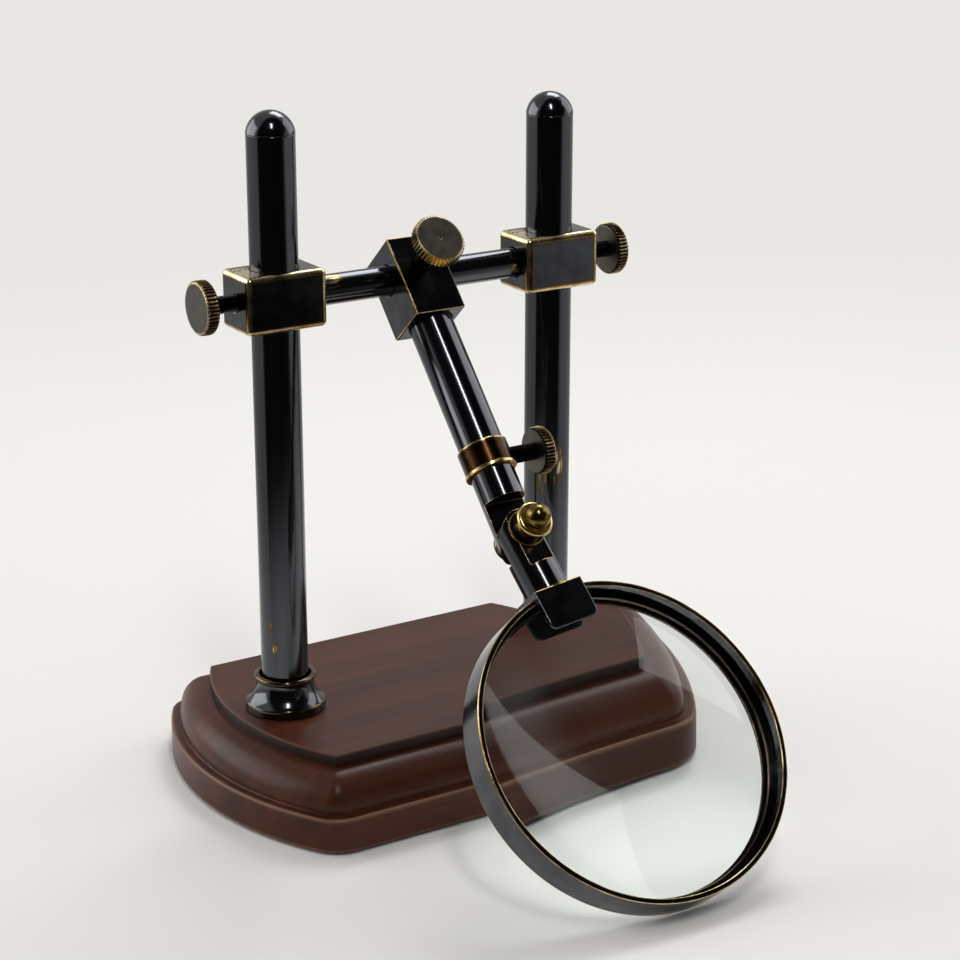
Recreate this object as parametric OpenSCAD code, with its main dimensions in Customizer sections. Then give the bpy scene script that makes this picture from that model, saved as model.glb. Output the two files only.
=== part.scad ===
// Desk magnifier on two pillars: a moulded wooden base, two brass pillars,
// a crossbar on sliding blocks, and a jointed arm that carries a framed lens.
// Units are millimetres, +Z is up, X runs from the left pillar to the right one,
// and the reader sits on the -Y side. Z = 0 is the table.

/* [Base] */
// Length of the wooden base at its foot, over the bowed ends
base_length = 172; // [150:1:200]
// Width of the wooden base at its foot
base_width = 120.6; // [110:0.2:140]
// Height of the flat top above the table
base_height = 29.5; // [26:0.5:36]
// Radius of the bowed ends at the foot
base_end_radius = 106.5; // [95:0.5:140]
// Radius of the convex moulding round the base
moulding_radius = 11; // [8:0.5:12]
// Flat step between the foot band and the convex moulding
foot_step = 3.3; // [2:0.1:5]
// Height of the upright band at the foot, with the felt
foot_band_height = 13; // [11:0.5:14]
// Thickness of the felt under the base
felt_thickness = 1; // [0.8:0.1:2]

/* [Pillars] */
// Distance between the two pillar axes
pillar_spacing = 107; // [100:1:115]
// Outside diameter of the pillars
pillar_diameter = 16; // [14:0.5:18]
// Wall thickness of the pillar tubes
pillar_wall = 1.5; // [1:0.1:2.5]
// Height of the left pillar's top above the table
left_pillar_top = 234.5; // [225:0.5:250]
// Height of the right pillar's top above the table
right_pillar_top = 231; // [225:0.5:250]
// Height of the domed cap above its seam
cap_height = 7.4; // [6:0.1:8]

/* [Foot flanges] */
// Height of the flange above the wood
flange_height = 12.6; // [11:0.1:16]
// Radius of the rolled rim at the top of the flange
flange_rim_radius = 10.5; // [10:0.1:12]
// Radius of the hollow sweep between rim and foot
flange_sweep_radius = 9; // [8:0.1:12]

/* [Slider blocks and crossbar] */
// Height of the crossbar's axis above the table
bar_height = 173.5; // [173.5:0.5:180]
// Diameter of the crossbar
bar_diameter = 10.2; // [8:0.1:11]
// Length of an end block along the crossbar
block_length = 29.2; // [27:0.1:32]
// Depth of an end block from front to back
block_depth = 18.9; // [18.9:0.1:22]
// Height of an end block
block_height = 19.4; // [17:0.1:24]
// Bevel on the edges of all three blocks
block_bevel = 0.9; // [0.4:0.1:0.9]

/* [Thumb-screws] */
// Diameter of the three block screws' heads
screw_head_diameter = 18; // [15:0.5:20]
// Thickness of every thumb-screw head
screw_head_thickness = 4.4; // [3.5:0.1:6]
// Diameter of every threaded shank
screw_diameter = 6; // [5:0.5:6]
// Bare shank between an end block and its screw head
screw_reach = 9.3; // [6:0.1:12]
// Diameter of the collar screw's head
collar_screw_head_diameter = 16; // [12:0.5:18]

/* [Arm] */
// Angle of the arm from straight down, towards the reader
arm_angle = 42.2; // [42.2:0.1:60]
// Place of the arm along the crossbar
arm_offset = -1.7; // [-10:0.1:10]
// Length of the centre block along the arm
centre_block_length = 28.9; // [27:0.1:34]
// Part of the centre block above the crossbar's axis
centre_block_above = 10.7; // [9:0.1:13]
// Width of the centre block along the crossbar
centre_block_width = 18.9; // [18.6:0.1:22]
// Outside diameter of the arm tube
arm_tube_diameter = 15.2; // [14:0.1:16]
// Wall thickness of the arm tube
arm_tube_wall = 1.3; // [1:0.1:1.6]
// Distance from the crossbar's axis to the lower end of the arm tube
arm_tube_reach = 74.7; // [66:0.1:76]
// Length of the brass collar round the tube's end
collar_length = 9.6; // [8:0.1:12]
// Outside diameter of the brass collar
collar_diameter = 17; // [16.8:0.1:19]
// Travel left for pulling the rod out of the tube
rod_travel = 28; // [20:1:30]

/* [Knuckle and stem] */
// Diameter of the knuckle and of the stem
knuckle_diameter = 14.9; // [14:0.1:16]
// Distance from the crossbar's axis to the pivot, along the arm
pivot_reach = 98.2; // [97:0.1:98.2]
// Distance from the knuckle's front shoulder to the pivot
shoulder_to_pivot = 12.9; // [10:0.1:14]
// Sideways swing of the stem at the pivot
stem_swing = 6.4; // [-20:0.1:20]
// Distance from the pivot to the lower end of the stem
stem_length = 20.8; // [18:0.1:20.8]
// Diameter of the pivot bolt
pivot_bolt_diameter = 5; // [4:0.5:6]
// Diameter of the brass ball
ball_diameter = 8.4; // [7:0.1:9]
// Height of the ball's centre in front of the arm's axis
ball_stand = 15.5; // [14.5:0.1:18]

/* [Lens] */
// Outside diameter of the lens ring
ring_diameter = 108.8; // [90:0.1:108.8]
// Depth of the lens ring from front to back
ring_depth = 12.2; // [12:0.1:16]
// Thickness of the ring's wall round the glass
ring_wall = 1.8; // [1.5:0.1:3]
// Radius of both curved faces of the glass
lens_face_radius = 364; // [300:1:600]
// Thickness of the glass at its edge
lens_edge = 3; // [2:0.1:4]
// Width of the clip across the stem
clip_width = 19; // [16:0.1:24]
// Length of the clip's two cheeks along the stem
clip_length = 13.8; // [12:0.1:15]

/* [Hidden] */
$fn = 96;
overlap = 1;                     // cutting tools reach this far past a face
turning_gap = 0.05;              // radial gap of fits that slide or turn
seat_gap = 0.02;                 // gap of fits that stay put

moulding_inset = foot_step + moulding_radius;
foot_round = 1.5;                // rounded top edge of the foot band
foot_chamfer = 0.8;              // bevel where the wood meets the felt
moulding_rise = 1.3;             // upright fillet under the convex moulding
felt_inset = 4;

pillar_radius = pillar_diameter / 2;
pillar_bore = pillar_radius - pillar_wall;
cap_overhang = 0.07;             // the cap's lip stands proud of the tube
cap_spigot_length = 8;
flange_floor = 3;
flange_socket_depth = 3.5;
flange_foot_rise = 3.1;          // upright edge of the flange's foot
flange_rim_height = 2;
flange_neck_radius = flange_rim_radius - 0.8;
flange_cup_radius = pillar_radius + 0.9;
flange_sweep_rise = flange_height - flange_rim_height - flange_foot_rise;
flange_foot_radius = flange_neck_radius + flange_sweep_radius
    - sqrt(pow(flange_sweep_radius, 2) - pow(flange_sweep_rise, 2));
pillar_foot = base_height + flange_floor;
plug_length = 20;
bolt_diameter = 6;
bolt_head_diameter = 10;
bolt_head_height = 4;
bolt_slot_width = 1.4;
bolt_slot_depth = 1.6;
washer_diameter = 18;
washer_thickness = 1.6;
counterbore_depth = 8.6;
counterbore_top = felt_thickness + counterbore_depth;
bolt_hole_diameter = bolt_diameter + 1;
bolt_engagement = 17;            // length of thread inside the pillar plug

bar_radius = bar_diameter / 2;
bar_socket_depth = 5;
block_inner_face = (pillar_spacing - block_length) / 2;
block_outer_face = (pillar_spacing + block_length) / 2;
bar_end_gap = 0.1;
bar_length = 2 * (block_inner_face + bar_socket_depth - bar_end_gap);
bore_chamfer = 0.4;

screw_radius = screw_diameter / 2;
screw_tip_radius = 2;
screw_tip_length = 1.5;
screw_chamfer = 0.6;

arm_radius = arm_tube_diameter / 2;
arm_bore = arm_radius - arm_tube_wall;
rod_radius = arm_bore - turning_gap;
centre_block_below = centre_block_length - centre_block_above;
tube_socket_wall = 2.4;          // metal left between crossbar and arm tube
tube_top = bar_radius + tube_socket_wall;
centre_screw_head = 20.9;        // back of the head, from the crossbar's axis
collar_radius = collar_diameter / 2;
collar_lip_width = 1.2;
collar_lip_height = 0.4;
collar_screw_head = 18.3;        // back of the head, from the arm's axis
collar_middle = arm_tube_reach - collar_length / 2;

knuckle_radius = knuckle_diameter / 2;
knuckle_top = arm_tube_reach + 0.3;
lap_gap = 0.05;                  // half the gap between the two laps
lap_clearance = 0.75;            // room round a lap's rounded end
lap_end_radius = knuckle_radius + lap_clearance;
rod_spigot_radius = 4.5;
rod_spigot_length = 8;
rod_left_in_tube = 18;           // rod still inside the tube when pulled out
rod_top = arm_tube_reach - rod_left_in_tube - rod_travel;

pivot_bolt_radius = pivot_bolt_diameter / 2;
pivot_head_radius = 5.4;
pivot_head_height = 3.2;
pivot_head_seat = knuckle_radius - 1.4;
stem_flat = knuckle_radius - 1.6;
stem_flat_end = 11.8;            // lower end of the flat under the ball knob
pivot_washer_radius = 6.3;
pivot_washer_thickness = 1.2;
cup_bottom = stem_flat + pivot_washer_thickness;
cup_top = ball_stand - 1.5;
cup_radius = 6.2;
cup_waist_radius = 4.6;
ball_radius = ball_diameter / 2;
ball_neck_radius = 3.2;

ring_radius = ring_diameter / 2;
ring_half_depth = ring_depth / 2;
lens_clearance = 0.05;
ring_bore = ring_radius - ring_wall;
lens_radius = ring_bore - lens_clearance;
lens_half_thickness = lens_edge / 2 + face_drop(lens_radius);
ring_seat_overlap = 2.55;        // how far the ring's rear shoulder covers the glass
ring_opening = lens_radius - ring_seat_overlap;
ring_shoulder_depth = 1.4;
ring_shoulder = ring_shoulder_depth - ring_half_depth;
lens_middle = ring_shoulder + lens_clearance + lens_half_thickness - face_drop(ring_opening);
ring_edge_round = 0.8;
retainer_depth = 1.2;
retainer_width = 1.7;
retainer_opening = lens_radius - retainer_width;
retainer_gap = 0.2;              // play between the glass and its retainer
retainer_seat = lens_middle + lens_half_thickness - face_drop(retainer_opening) + retainer_gap;
clip_wall = 1.2;
clip_round = 2.5;
lens_reach = stem_length + clip_wall + ring_radius;
stem_spigot_radius = 4;
stem_spigot_length = clip_wall - 0.1;

// How far a curved face of the glass falls away at a distance from its middle.
function face_drop(radius) = lens_face_radius - sqrt(pow(lens_face_radius, 2) - pow(radius, 2));

wood = "#5b2d1c";
felt = "#20241f";
dark_brass = "#2c2a26";
bright_brass = "#c39a4c";
red_brass = "#8a5a34";
steel = "#8c8c88";
glass = "#cfe0dd66";

// Which sub-part to draw

// Base

// Half of the base's outline through the moulding, from the middle to the edge.
module moulding_section(reach) {
    top_reach = reach - moulding_inset;
    moulding_centre = foot_band_height + moulding_rise;
    band_side = foot_band_height - foot_round;

    difference() {
        union() {
            translate([0, felt_thickness])
                square([reach, band_side - felt_thickness]);
            translate([0, felt_thickness])
                square([reach - foot_round, foot_band_height - felt_thickness]);
            translate([reach - foot_round, band_side])
                circle(r = foot_round);
            square([reach - foot_step, moulding_centre]);
            translate([top_reach, moulding_centre])
                circle(r = moulding_radius);
            square([top_reach, base_height]);
        }
        square([reach, felt_thickness]);
        translate([reach, felt_thickness])
            rotate(45)
                square(foot_chamfer * sqrt(2), center = true);
    }
}

// The base's section swung about the centre of a bowed end.
module bowed_end(side) {
    translate([side * (base_end_radius - base_length / 2), 0, 0])
        rotate_extrude($fn = 180)
            moulding_section(base_end_radius);
}

module straight_sides() {
    rotate([90, 0, 90])
        linear_extrude(height = 2 * base_length, center = true) {
            moulding_section(base_width / 2);
            mirror([1, 0])
                moulding_section(base_width / 2);
        }
}

module at_pillars() {
    for (side = [-1, 1])
        translate([side * pillar_spacing / 2, 0, 0])
            children();
}

module wood_base() {
    color(wood)
        difference() {
            intersection() {
                straight_sides();
                bowed_end(1);
                bowed_end(-1);
            }
            at_pillars() {
                cylinder(d = bolt_hole_diameter, h = base_height + overlap);
                translate([0, 0, -overlap])
                    cylinder(d = washer_diameter + 1, h = counterbore_top + overlap);
            }
        }
}

module felt_pad() {
    end_radius = base_end_radius - felt_inset;
    end_centre = base_end_radius - base_length / 2;

    color(felt)
        linear_extrude(height = felt_thickness)
            intersection() {
                translate([end_centre, 0])
                    circle(r = end_radius, $fn = 180);
                translate([-end_centre, 0])
                    circle(r = end_radius, $fn = 180);
                square([base_length, base_width - 2 * felt_inset], center = true);
            }
}

// Pillars and their fixings

module foot_flange() {
    sweep_centre = flange_neck_radius + flange_sweep_radius;
    rim_bottom = flange_height - flange_rim_height;
    rim_round = flange_rim_height / 2;

    translate([0, 0, base_height])
        rotate_extrude()
            difference() {
                union() {
                    square([flange_foot_radius, flange_foot_rise]);
                    difference() {
                        square([flange_foot_radius, rim_bottom]);
                        translate([sweep_centre, rim_bottom])
                            circle(r = flange_sweep_radius);
                    }
                    translate([0, rim_bottom])
                        square([flange_rim_radius - rim_round, flange_rim_height]);
                    translate([flange_rim_radius - rim_round, flange_height - rim_round])
                        circle(r = rim_round);
                }
                square([bolt_hole_diameter / 2, flange_height]);
                translate([0, flange_floor])
                    square([pillar_radius + seat_gap, flange_height]);
                translate([0, flange_floor + flange_socket_depth])
                    square([flange_cup_radius, flange_height]);
            }
}

module pillar_tube(top) {
    translate([0, 0, pillar_foot])
        difference() {
            cylinder(r = pillar_radius, h = top - cap_height - pillar_foot);
            translate([0, 0, -overlap])
                cylinder(r = pillar_bore, h = top);
        }
}

module pillar_cap(top) {
    lip_radius = pillar_radius + cap_overhang;
    dome_radius = (pow(lip_radius, 2) + pow(cap_height, 2)) / (2 * cap_height);

    translate([0, 0, top - cap_height]) {
        rotate_extrude()
            intersection() {
                translate([0, cap_height - dome_radius])
                    circle(r = dome_radius);
                square([lip_radius, cap_height]);
            }
        translate([0, 0, -cap_spigot_length])
            cylinder(r = pillar_bore - seat_gap, h = cap_spigot_length);
    }
}

module left_foot_flange() {
    color(dark_brass)
        translate([-pillar_spacing / 2, 0, 0])
            foot_flange();
}

module right_foot_flange() {
    color(dark_brass)
        translate([pillar_spacing / 2, 0, 0])
            foot_flange();
}

module left_pillar_tube() {
    color(dark_brass)
        translate([-pillar_spacing / 2, 0, 0])
            pillar_tube(left_pillar_top);
}

module right_pillar_tube() {
    color(dark_brass)
        translate([pillar_spacing / 2, 0, 0])
            pillar_tube(right_pillar_top);
}

module left_pillar_cap() {
    color(dark_brass)
        translate([-pillar_spacing / 2, 0, 0])
            pillar_cap(left_pillar_top);
}

module right_pillar_cap() {
    color(dark_brass)
        translate([pillar_spacing / 2, 0, 0])
            pillar_cap(right_pillar_top);
}

module pillar_plugs() {
    color(bright_brass)
        at_pillars()
            translate([0, 0, pillar_foot])
                difference() {
                    cylinder(r = pillar_bore - seat_gap, h = plug_length);
                    translate([0, 0, -overlap])
                        cylinder(d = bolt_diameter + 2 * seat_gap, h = plug_length + 2 * overlap);
                }
}

module pillar_bolts() {
    head_bottom = counterbore_top - washer_thickness - bolt_head_height;
    slot = [bolt_head_diameter + overlap, bolt_slot_width, 2 * bolt_slot_depth];

    color(steel)
        at_pillars()
            translate([0, 0, head_bottom])
                difference() {
                    union() {
                        cylinder(d = bolt_head_diameter, h = bolt_head_height);
                        cylinder(d = bolt_diameter, h = pillar_foot + bolt_engagement - head_bottom);
                    }
                    cube(slot, center = true);
                }
}

module pillar_washers() {
    color(steel)
        at_pillars()
            translate([0, 0, counterbore_top - washer_thickness])
                difference() {
                    cylinder(d = washer_diameter, h = washer_thickness);
                    translate([0, 0, -overlap])
                        cylinder(d = bolt_diameter + 0.4, h = washer_thickness + 2 * overlap);
                }
}

// Blocks and crossbar

// A box with all twelve edges bevelled.
module bevelled_box(size, bevel) {
    intersection() {
        linear_extrude(height = size.z, center = true)
            bevelled_rectangle(size.x, size.y, bevel);
        rotate([90, 0, 0])
            linear_extrude(height = size.y, center = true)
                bevelled_rectangle(size.x, size.z, bevel);
        rotate([90, 0, 90])
            linear_extrude(height = size.x, center = true)
                bevelled_rectangle(size.y, size.z, bevel);
    }
}

module bevelled_rectangle(width, height, bevel) {
    x = width / 2;
    y = height / 2;

    polygon([
        [bevel - x, -y], [x - bevel, -y], [x, bevel - y], [x, y - bevel],
        [x - bevel, y], [bevel - x, y], [-x, y - bevel], [-x, bevel - y],
    ]);
}

// A bore along Z, bevelled where it leaves the block at plus or minus reach.
module bevelled_bore(radius, reach) {
    cylinder(r = radius, h = 2 * (reach + overlap), center = true);
    for (side = [0, 1])
        mirror([0, 0, side])
            translate([0, 0, reach - bore_chamfer])
                cylinder(r1 = radius, r2 = radius + 2 * bore_chamfer, h = 2 * bore_chamfer);
}

// The left block; the right one is its mirror image.
module slider_block() {
    translate([-pillar_spacing / 2, 0, bar_height])
        difference() {
            bevelled_box([block_length, block_depth, block_height], block_bevel);
            bevelled_bore(pillar_radius + turning_gap, block_height / 2);
            translate([block_length / 2 - bar_socket_depth, 0, 0])
                rotate([0, 90, 0])
                    cylinder(r = bar_radius + turning_gap, h = bar_socket_depth + overlap);
            rotate([0, -90, 0])
                cylinder(r = screw_radius + turning_gap, h = block_length);
        }
}

module left_slider_block() {
    color(dark_brass)
        slider_block();
}

module right_slider_block() {
    color(dark_brass)
        mirror([1, 0, 0])
            slider_block();
}

// A thumb-screw along +Z: the tip at z = 0, the back of the head at z = reach.
module thumb_screw(reach, head_diameter) {
    head_radius = head_diameter / 2;

    cylinder(r1 = screw_tip_radius, r2 = screw_radius, h = screw_tip_length);
    translate([0, 0, screw_tip_length])
        cylinder(r = screw_radius, h = reach - screw_tip_length + overlap);
    translate([0, 0, reach])
        cylinder(r1 = head_radius - screw_chamfer, r2 = head_radius, h = screw_chamfer);
    translate([0, 0, reach + screw_chamfer])
        cylinder(r = head_radius, h = screw_head_thickness - 2 * screw_chamfer);
    translate([0, 0, reach + screw_head_thickness - screw_chamfer])
        cylinder(r1 = head_radius, r2 = head_radius - screw_chamfer, h = screw_chamfer);
}

// The left screw presses on the left pillar.
module pillar_screw() {
    tip = pillar_spacing / 2 + pillar_radius + seat_gap;

    translate([-tip, 0, bar_height])
        rotate([0, -90, 0])
            thumb_screw(block_outer_face + screw_reach - tip, screw_head_diameter);
}

module left_clamp_screw() {
    color(dark_brass)
        pillar_screw();
}

module right_clamp_screw() {
    color(dark_brass)
        mirror([1, 0, 0])
            pillar_screw();
}

module cross_bar() {
    color(dark_brass)
        translate([0, 0, bar_height])
            rotate([0, 90, 0])
                cylinder(r = bar_radius, h = bar_length, center = true);
}

// Arm

// Frame of the arm: the crossbar's axis at the origin, the arm running down -Z,
// and the arm's front on the -Y side.
module in_arm_frame() {
    translate([arm_offset, 0, bar_height])
        rotate([-arm_angle, 0, 0])
            children();
}

module centre_block() {
    middle = centre_block_above - centre_block_length / 2;

    color(dark_brass)
        in_arm_frame()
            difference() {
                translate([0, 0, middle])
                    bevelled_box([centre_block_width, block_depth, centre_block_length], block_bevel);
                rotate([0, 90, 0])
                    bevelled_bore(bar_radius + turning_gap, centre_block_width / 2);
                translate([0, 0, -centre_block_length])
                    cylinder(r = arm_radius + seat_gap, h = centre_block_length - tube_top);
                rotate([90, 0, 0])
                    cylinder(r = screw_radius + turning_gap, h = block_depth);
            }
}

module centre_clamp_screw() {
    tip = bar_radius + seat_gap;

    color(dark_brass)
        in_arm_frame()
            rotate([90, 0, 0])
                translate([0, 0, tip])
                    thumb_screw(centre_screw_head - tip, screw_head_diameter);
}

module arm_tube() {
    color(dark_brass)
        in_arm_frame()
            translate([0, 0, -arm_tube_reach])
                difference() {
                    cylinder(r = arm_radius, h = arm_tube_reach - tube_top);
                    translate([0, 0, -overlap])
                        cylinder(r = arm_bore, h = arm_tube_reach);
                    collar_screw_hole();
                }
}

// The threaded hole through collar and tube, from the tube's lower end.
module collar_screw_hole() {
    translate([0, 0, collar_length / 2])
        rotate([0, 90, 0])
            cylinder(r = screw_radius + turning_gap, h = collar_diameter);
}

module arm_collar() {
    color(red_brass)
        in_arm_frame()
            translate([0, 0, -arm_tube_reach])
                difference() {
                    union() {
                        cylinder(r = collar_radius, h = collar_length);
                        cylinder(r = collar_radius + collar_lip_height, h = collar_lip_width);
                    }
                    translate([0, 0, -overlap])
                        cylinder(r = arm_radius + seat_gap, h = collar_length + 2 * overlap);
                    collar_screw_hole();
                }
}

module collar_clamp_screw() {
    tip = rod_radius + seat_gap;

    color(dark_brass)
        in_arm_frame()
            translate([tip, 0, -collar_middle])
                rotate([0, 90, 0])
                    thumb_screw(collar_screw_head - tip, collar_screw_head_diameter);
}

module arm_rod() {
    color(steel)
        in_arm_frame() {
            translate([0, 0, -knuckle_top])
                cylinder(r = rod_radius, h = knuckle_top - rod_top);
            translate([0, 0, -knuckle_top - rod_spigot_length])
                cylinder(r = rod_spigot_radius, h = rod_spigot_length + overlap);
        }
}

// Knuckle, pivot and stem

// Frame of the pivot: its axis at the origin along Y, the arm above it.
module in_pivot_frame() {
    in_arm_frame()
        translate([0, 0, -pivot_reach])
            children();
}

// Frame of the stem: the pivot frame swung sideways, the stem running down -Z.
module in_stem_frame() {
    in_pivot_frame()
        rotate([0, -stem_swing, 0])
            children();
}

// Turned bar from the pivot up to z = length, with a rounded lower end.
module round_ended_bar(length) {
    cylinder(r = knuckle_radius, h = length);
    intersection() {
        rotate([90, 0, 0])
            cylinder(r = knuckle_radius, h = knuckle_diameter, center = true);
        translate([0, 0, -knuckle_radius])
            cylinder(r = knuckle_radius, h = knuckle_radius + overlap);
    }
}

// Everything on the +Y side of the plane y = 0, between two heights.
module half_space(bottom, top) {
    translate([-knuckle_diameter, 0, bottom])
        cube([2 * knuckle_diameter, 2 * knuckle_diameter, top - bottom]);
}

module pivot_bore(radius) {
    rotate([90, 0, 0])
        cylinder(r = radius, h = 2 * knuckle_diameter, center = true);
}

module upper_knuckle() {
    length = pivot_reach - knuckle_top;

    color(dark_brass)
        in_pivot_frame()
            difference() {
                round_ended_bar(length);
                translate([0, lap_gap, 0])
                    mirror([0, 1, 0])
                        half_space(-knuckle_diameter, shoulder_to_pivot);
                translate([0, pivot_head_seat, 0])
                    half_space(-knuckle_diameter, pivot_head_radius + 0.8);
                pivot_bore(pivot_bolt_radius + seat_gap);
                translate([0, 0, length - rod_spigot_length])
                    cylinder(r = rod_spigot_radius + turning_gap, h = rod_spigot_length + overlap);
            }
}

module pivot_bolt() {
    head_sphere = (pow(pivot_head_radius, 2) + pow(pivot_head_height, 2)) / (2 * pivot_head_height);

    color(dark_brass)
        in_pivot_frame()
            rotate([-90, 0, 0]) {
                translate([0, 0, -ball_stand])
                    cylinder(r = pivot_bolt_radius, h = ball_stand + pivot_head_seat + overlap);
                translate([0, 0, pivot_head_seat])
                    rotate_extrude()
                        intersection() {
                            translate([0, pivot_head_height - head_sphere])
                                circle(r = head_sphere);
                            square([pivot_head_radius, pivot_head_height]);
                        }
            }
}

module pivot_washer() {
    color(dark_brass)
        in_pivot_frame()
            rotate([90, 0, 0])
                translate([0, 0, stem_flat])
                    difference() {
                        cylinder(r = pivot_washer_radius, h = pivot_washer_thickness);
                        cylinder(r = pivot_bolt_radius + turning_gap, h = knuckle_diameter, center = true);
                    }
}

// A turned cup, wider at the top, with a bowl that takes the ball.
module knob_cup() {
    color(bright_brass)
        in_pivot_frame()
            rotate([90, 0, 0])
                translate([0, 0, cup_bottom])
                    difference() {
                        cylinder(r1 = cup_waist_radius, r2 = cup_radius, h = cup_top - cup_bottom);
                        translate([0, 0, ball_stand - cup_bottom])
                            sphere(r = ball_radius + seat_gap);
                        translate([0, 0, -overlap])
                            cylinder(r = ball_neck_radius + seat_gap, h = cup_top);
                    }
}

module ball_knob() {
    color(bright_brass)
        in_pivot_frame()
            rotate([90, 0, 0])
                difference() {
                    union() {
                        translate([0, 0, ball_stand])
                            sphere(r = ball_radius);
                        translate([0, 0, cup_bottom])
                            cylinder(r = ball_neck_radius, h = ball_stand - cup_bottom);
                    }
                    cylinder(r = pivot_bolt_radius + turning_gap, h = ball_stand + turning_gap);
                }
}

module lens_stem() {
    color(dark_brass)
        in_stem_frame()
            difference() {
                union() {
                    mirror([0, 0, 1])
                        round_ended_bar(stem_length);
                    translate([0, 0, -stem_length - stem_spigot_length])
                        cylinder(r = stem_spigot_radius, h = stem_spigot_length + overlap);
                }
                translate([0, -lap_gap, 0])
                    half_space(-lap_end_radius, knuckle_diameter);
                translate([0, -stem_flat, 0])
                    mirror([0, 1, 0])
                        half_space(-stem_flat_end, knuckle_diameter);
                pivot_bore(pivot_bolt_radius + turning_gap);
            }
}

// Lens

// Frame of the lens: its centre at the origin, +Z out through the front face.
module in_lens_frame() {
    in_stem_frame()
        translate([0, 0, -lens_reach])
            rotate([90, 0, 0])
                children();
}

module lens_clip() {
    outer_depth = ring_depth + 2 * clip_wall;
    slot_depth = ring_depth + 2 * seat_gap;

    color(dark_brass)
        in_stem_frame()
            difference() {
                translate([0, 0, -stem_length - clip_length / 2])
                    clip_body(outer_depth);
                translate([0, 0, -lens_reach])
                    rotate([90, 0, 0])
                        cylinder(r = ring_radius + seat_gap, h = slot_depth, center = true, $fn = 180);
                translate([0, 0, -stem_length - 2 * clip_wall])
                    cylinder(r = stem_spigot_radius + seat_gap, h = clip_length);
            }
}

// The clip before its slot is cut, with its lower corners rounded.
module clip_body(depth) {
    rotate([90, 0, 0])
        linear_extrude(height = depth, center = true) {
            translate([-clip_width / 2, clip_round - clip_length / 2])
                square([clip_width, clip_length - clip_round]);
            translate([clip_round - clip_width / 2, -clip_length / 2])
                square([clip_width - 2 * clip_round, clip_length]);
            for (side = [-1, 1])
                translate([side * (clip_width / 2 - clip_round), clip_round - clip_length / 2])
                    circle(r = clip_round);
        }
}

module lens_ring() {
    color(dark_brass)
        in_lens_frame()
            rotate_extrude($fn = 180)
                difference() {
                    ring_section();
                    translate([0, ring_shoulder])
                        square([ring_bore, ring_depth]);
                    translate([0, -ring_depth])
                        square([ring_opening, 2 * ring_depth]);
                }
}

// The ring's solid section, with both outer edges rounded.
module ring_section() {
    round_edge = ring_half_depth - ring_edge_round;

    translate([0, -ring_half_depth])
        square([ring_radius - ring_edge_round, ring_depth]);
    translate([0, -round_edge])
        square([ring_radius, 2 * round_edge]);
    for (side = [-1, 1])
        translate([ring_radius - ring_edge_round, side * round_edge])
            circle(r = ring_edge_round);
}

module lens_retainer() {
    color(dark_brass)
        in_lens_frame()
            translate([0, 0, retainer_seat])
                difference() {
                    cylinder(r = ring_bore - seat_gap, h = retainer_depth, $fn = 180);
                    translate([0, 0, -overlap])
                        cylinder(r = retainer_opening, h = retainer_depth + 2 * overlap, $fn = 180);
                }
}

module lens() {
    sphere_centre = lens_face_radius - lens_half_thickness;

    color(glass)
        in_lens_frame()
            translate([0, 0, lens_middle])
                rotate_extrude($fn = 180)
                    intersection() {
                        translate([0, -sphere_centre])
                            circle(r = lens_face_radius, $fn = 720);
                        translate([0, sphere_centre])
                            circle(r = lens_face_radius, $fn = 720);
                        translate([0, -ring_half_depth])
                            square([lens_radius, ring_depth]);
                    }
}

wood_base();
felt_pad();
left_foot_flange();
right_foot_flange();
left_pillar_tube();
right_pillar_tube();
left_pillar_cap();
right_pillar_cap();
pillar_plugs();
pillar_bolts();
pillar_washers();
left_slider_block();
right_slider_block();
left_clamp_screw();
right_clamp_screw();
cross_bar();
centre_block();
centre_clamp_screw();
arm_tube();
arm_collar();
collar_clamp_screw();
arm_rod();
upper_knuckle();
pivot_bolt();
pivot_washer();
knob_cup();
ball_knob();
lens_stem();
lens_clip();
lens_ring();
lens_retainer();
lens();
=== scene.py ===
from functools import partial
from math import cos, hypot, pi, radians, sin, sqrt, tau

import bpy
from mathutils import Matrix, Vector


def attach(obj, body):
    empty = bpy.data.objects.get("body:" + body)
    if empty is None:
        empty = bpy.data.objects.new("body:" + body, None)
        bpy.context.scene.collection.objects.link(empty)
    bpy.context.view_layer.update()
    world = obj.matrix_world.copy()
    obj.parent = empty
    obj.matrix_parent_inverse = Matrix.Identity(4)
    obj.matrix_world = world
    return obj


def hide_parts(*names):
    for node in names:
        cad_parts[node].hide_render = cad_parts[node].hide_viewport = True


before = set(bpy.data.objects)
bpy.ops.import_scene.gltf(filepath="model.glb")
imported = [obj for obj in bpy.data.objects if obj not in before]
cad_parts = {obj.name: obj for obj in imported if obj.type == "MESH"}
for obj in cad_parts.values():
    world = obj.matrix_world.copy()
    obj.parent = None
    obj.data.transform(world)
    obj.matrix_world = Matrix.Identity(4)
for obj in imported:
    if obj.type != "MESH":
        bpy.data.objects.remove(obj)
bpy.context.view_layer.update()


# Wooden base
# One block of mahogany with bowed ends, its edge run through a moulding cutter,
# stained red-brown and finished with a thin satin lacquer. Sizes are millimetres.

MM = 0.001
BASE_HALF_WIDTH = 60.3
BASE_END_RADIUS = 106.5
BASE_END_CENTRE = 20.5
BASE_TOP = 29.5
FELT_TOP = 1.0
BAND_TOP = 13.0
BAND_ROUNDING = 0.9
OVOLO_RADIUS = 11.0
OVOLO_FOOT = 14.3
OVOLO_INSET = 14.3
OVOLO_STEPS = 28
# the corners of the base get sharper up the ovolo, from one radius by that much
OVOLO_CORNER = 8.6
OVOLO_CORNER_LOSS = 7.8
# above this height the top panel's edge is crisp, and gets little of the edges' painted highlight
# and rubbing
PANEL_FOOT = 28
PANEL_EDGE_HIGHLIGHT = 0.25
PILLAR_X = 53.5
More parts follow.
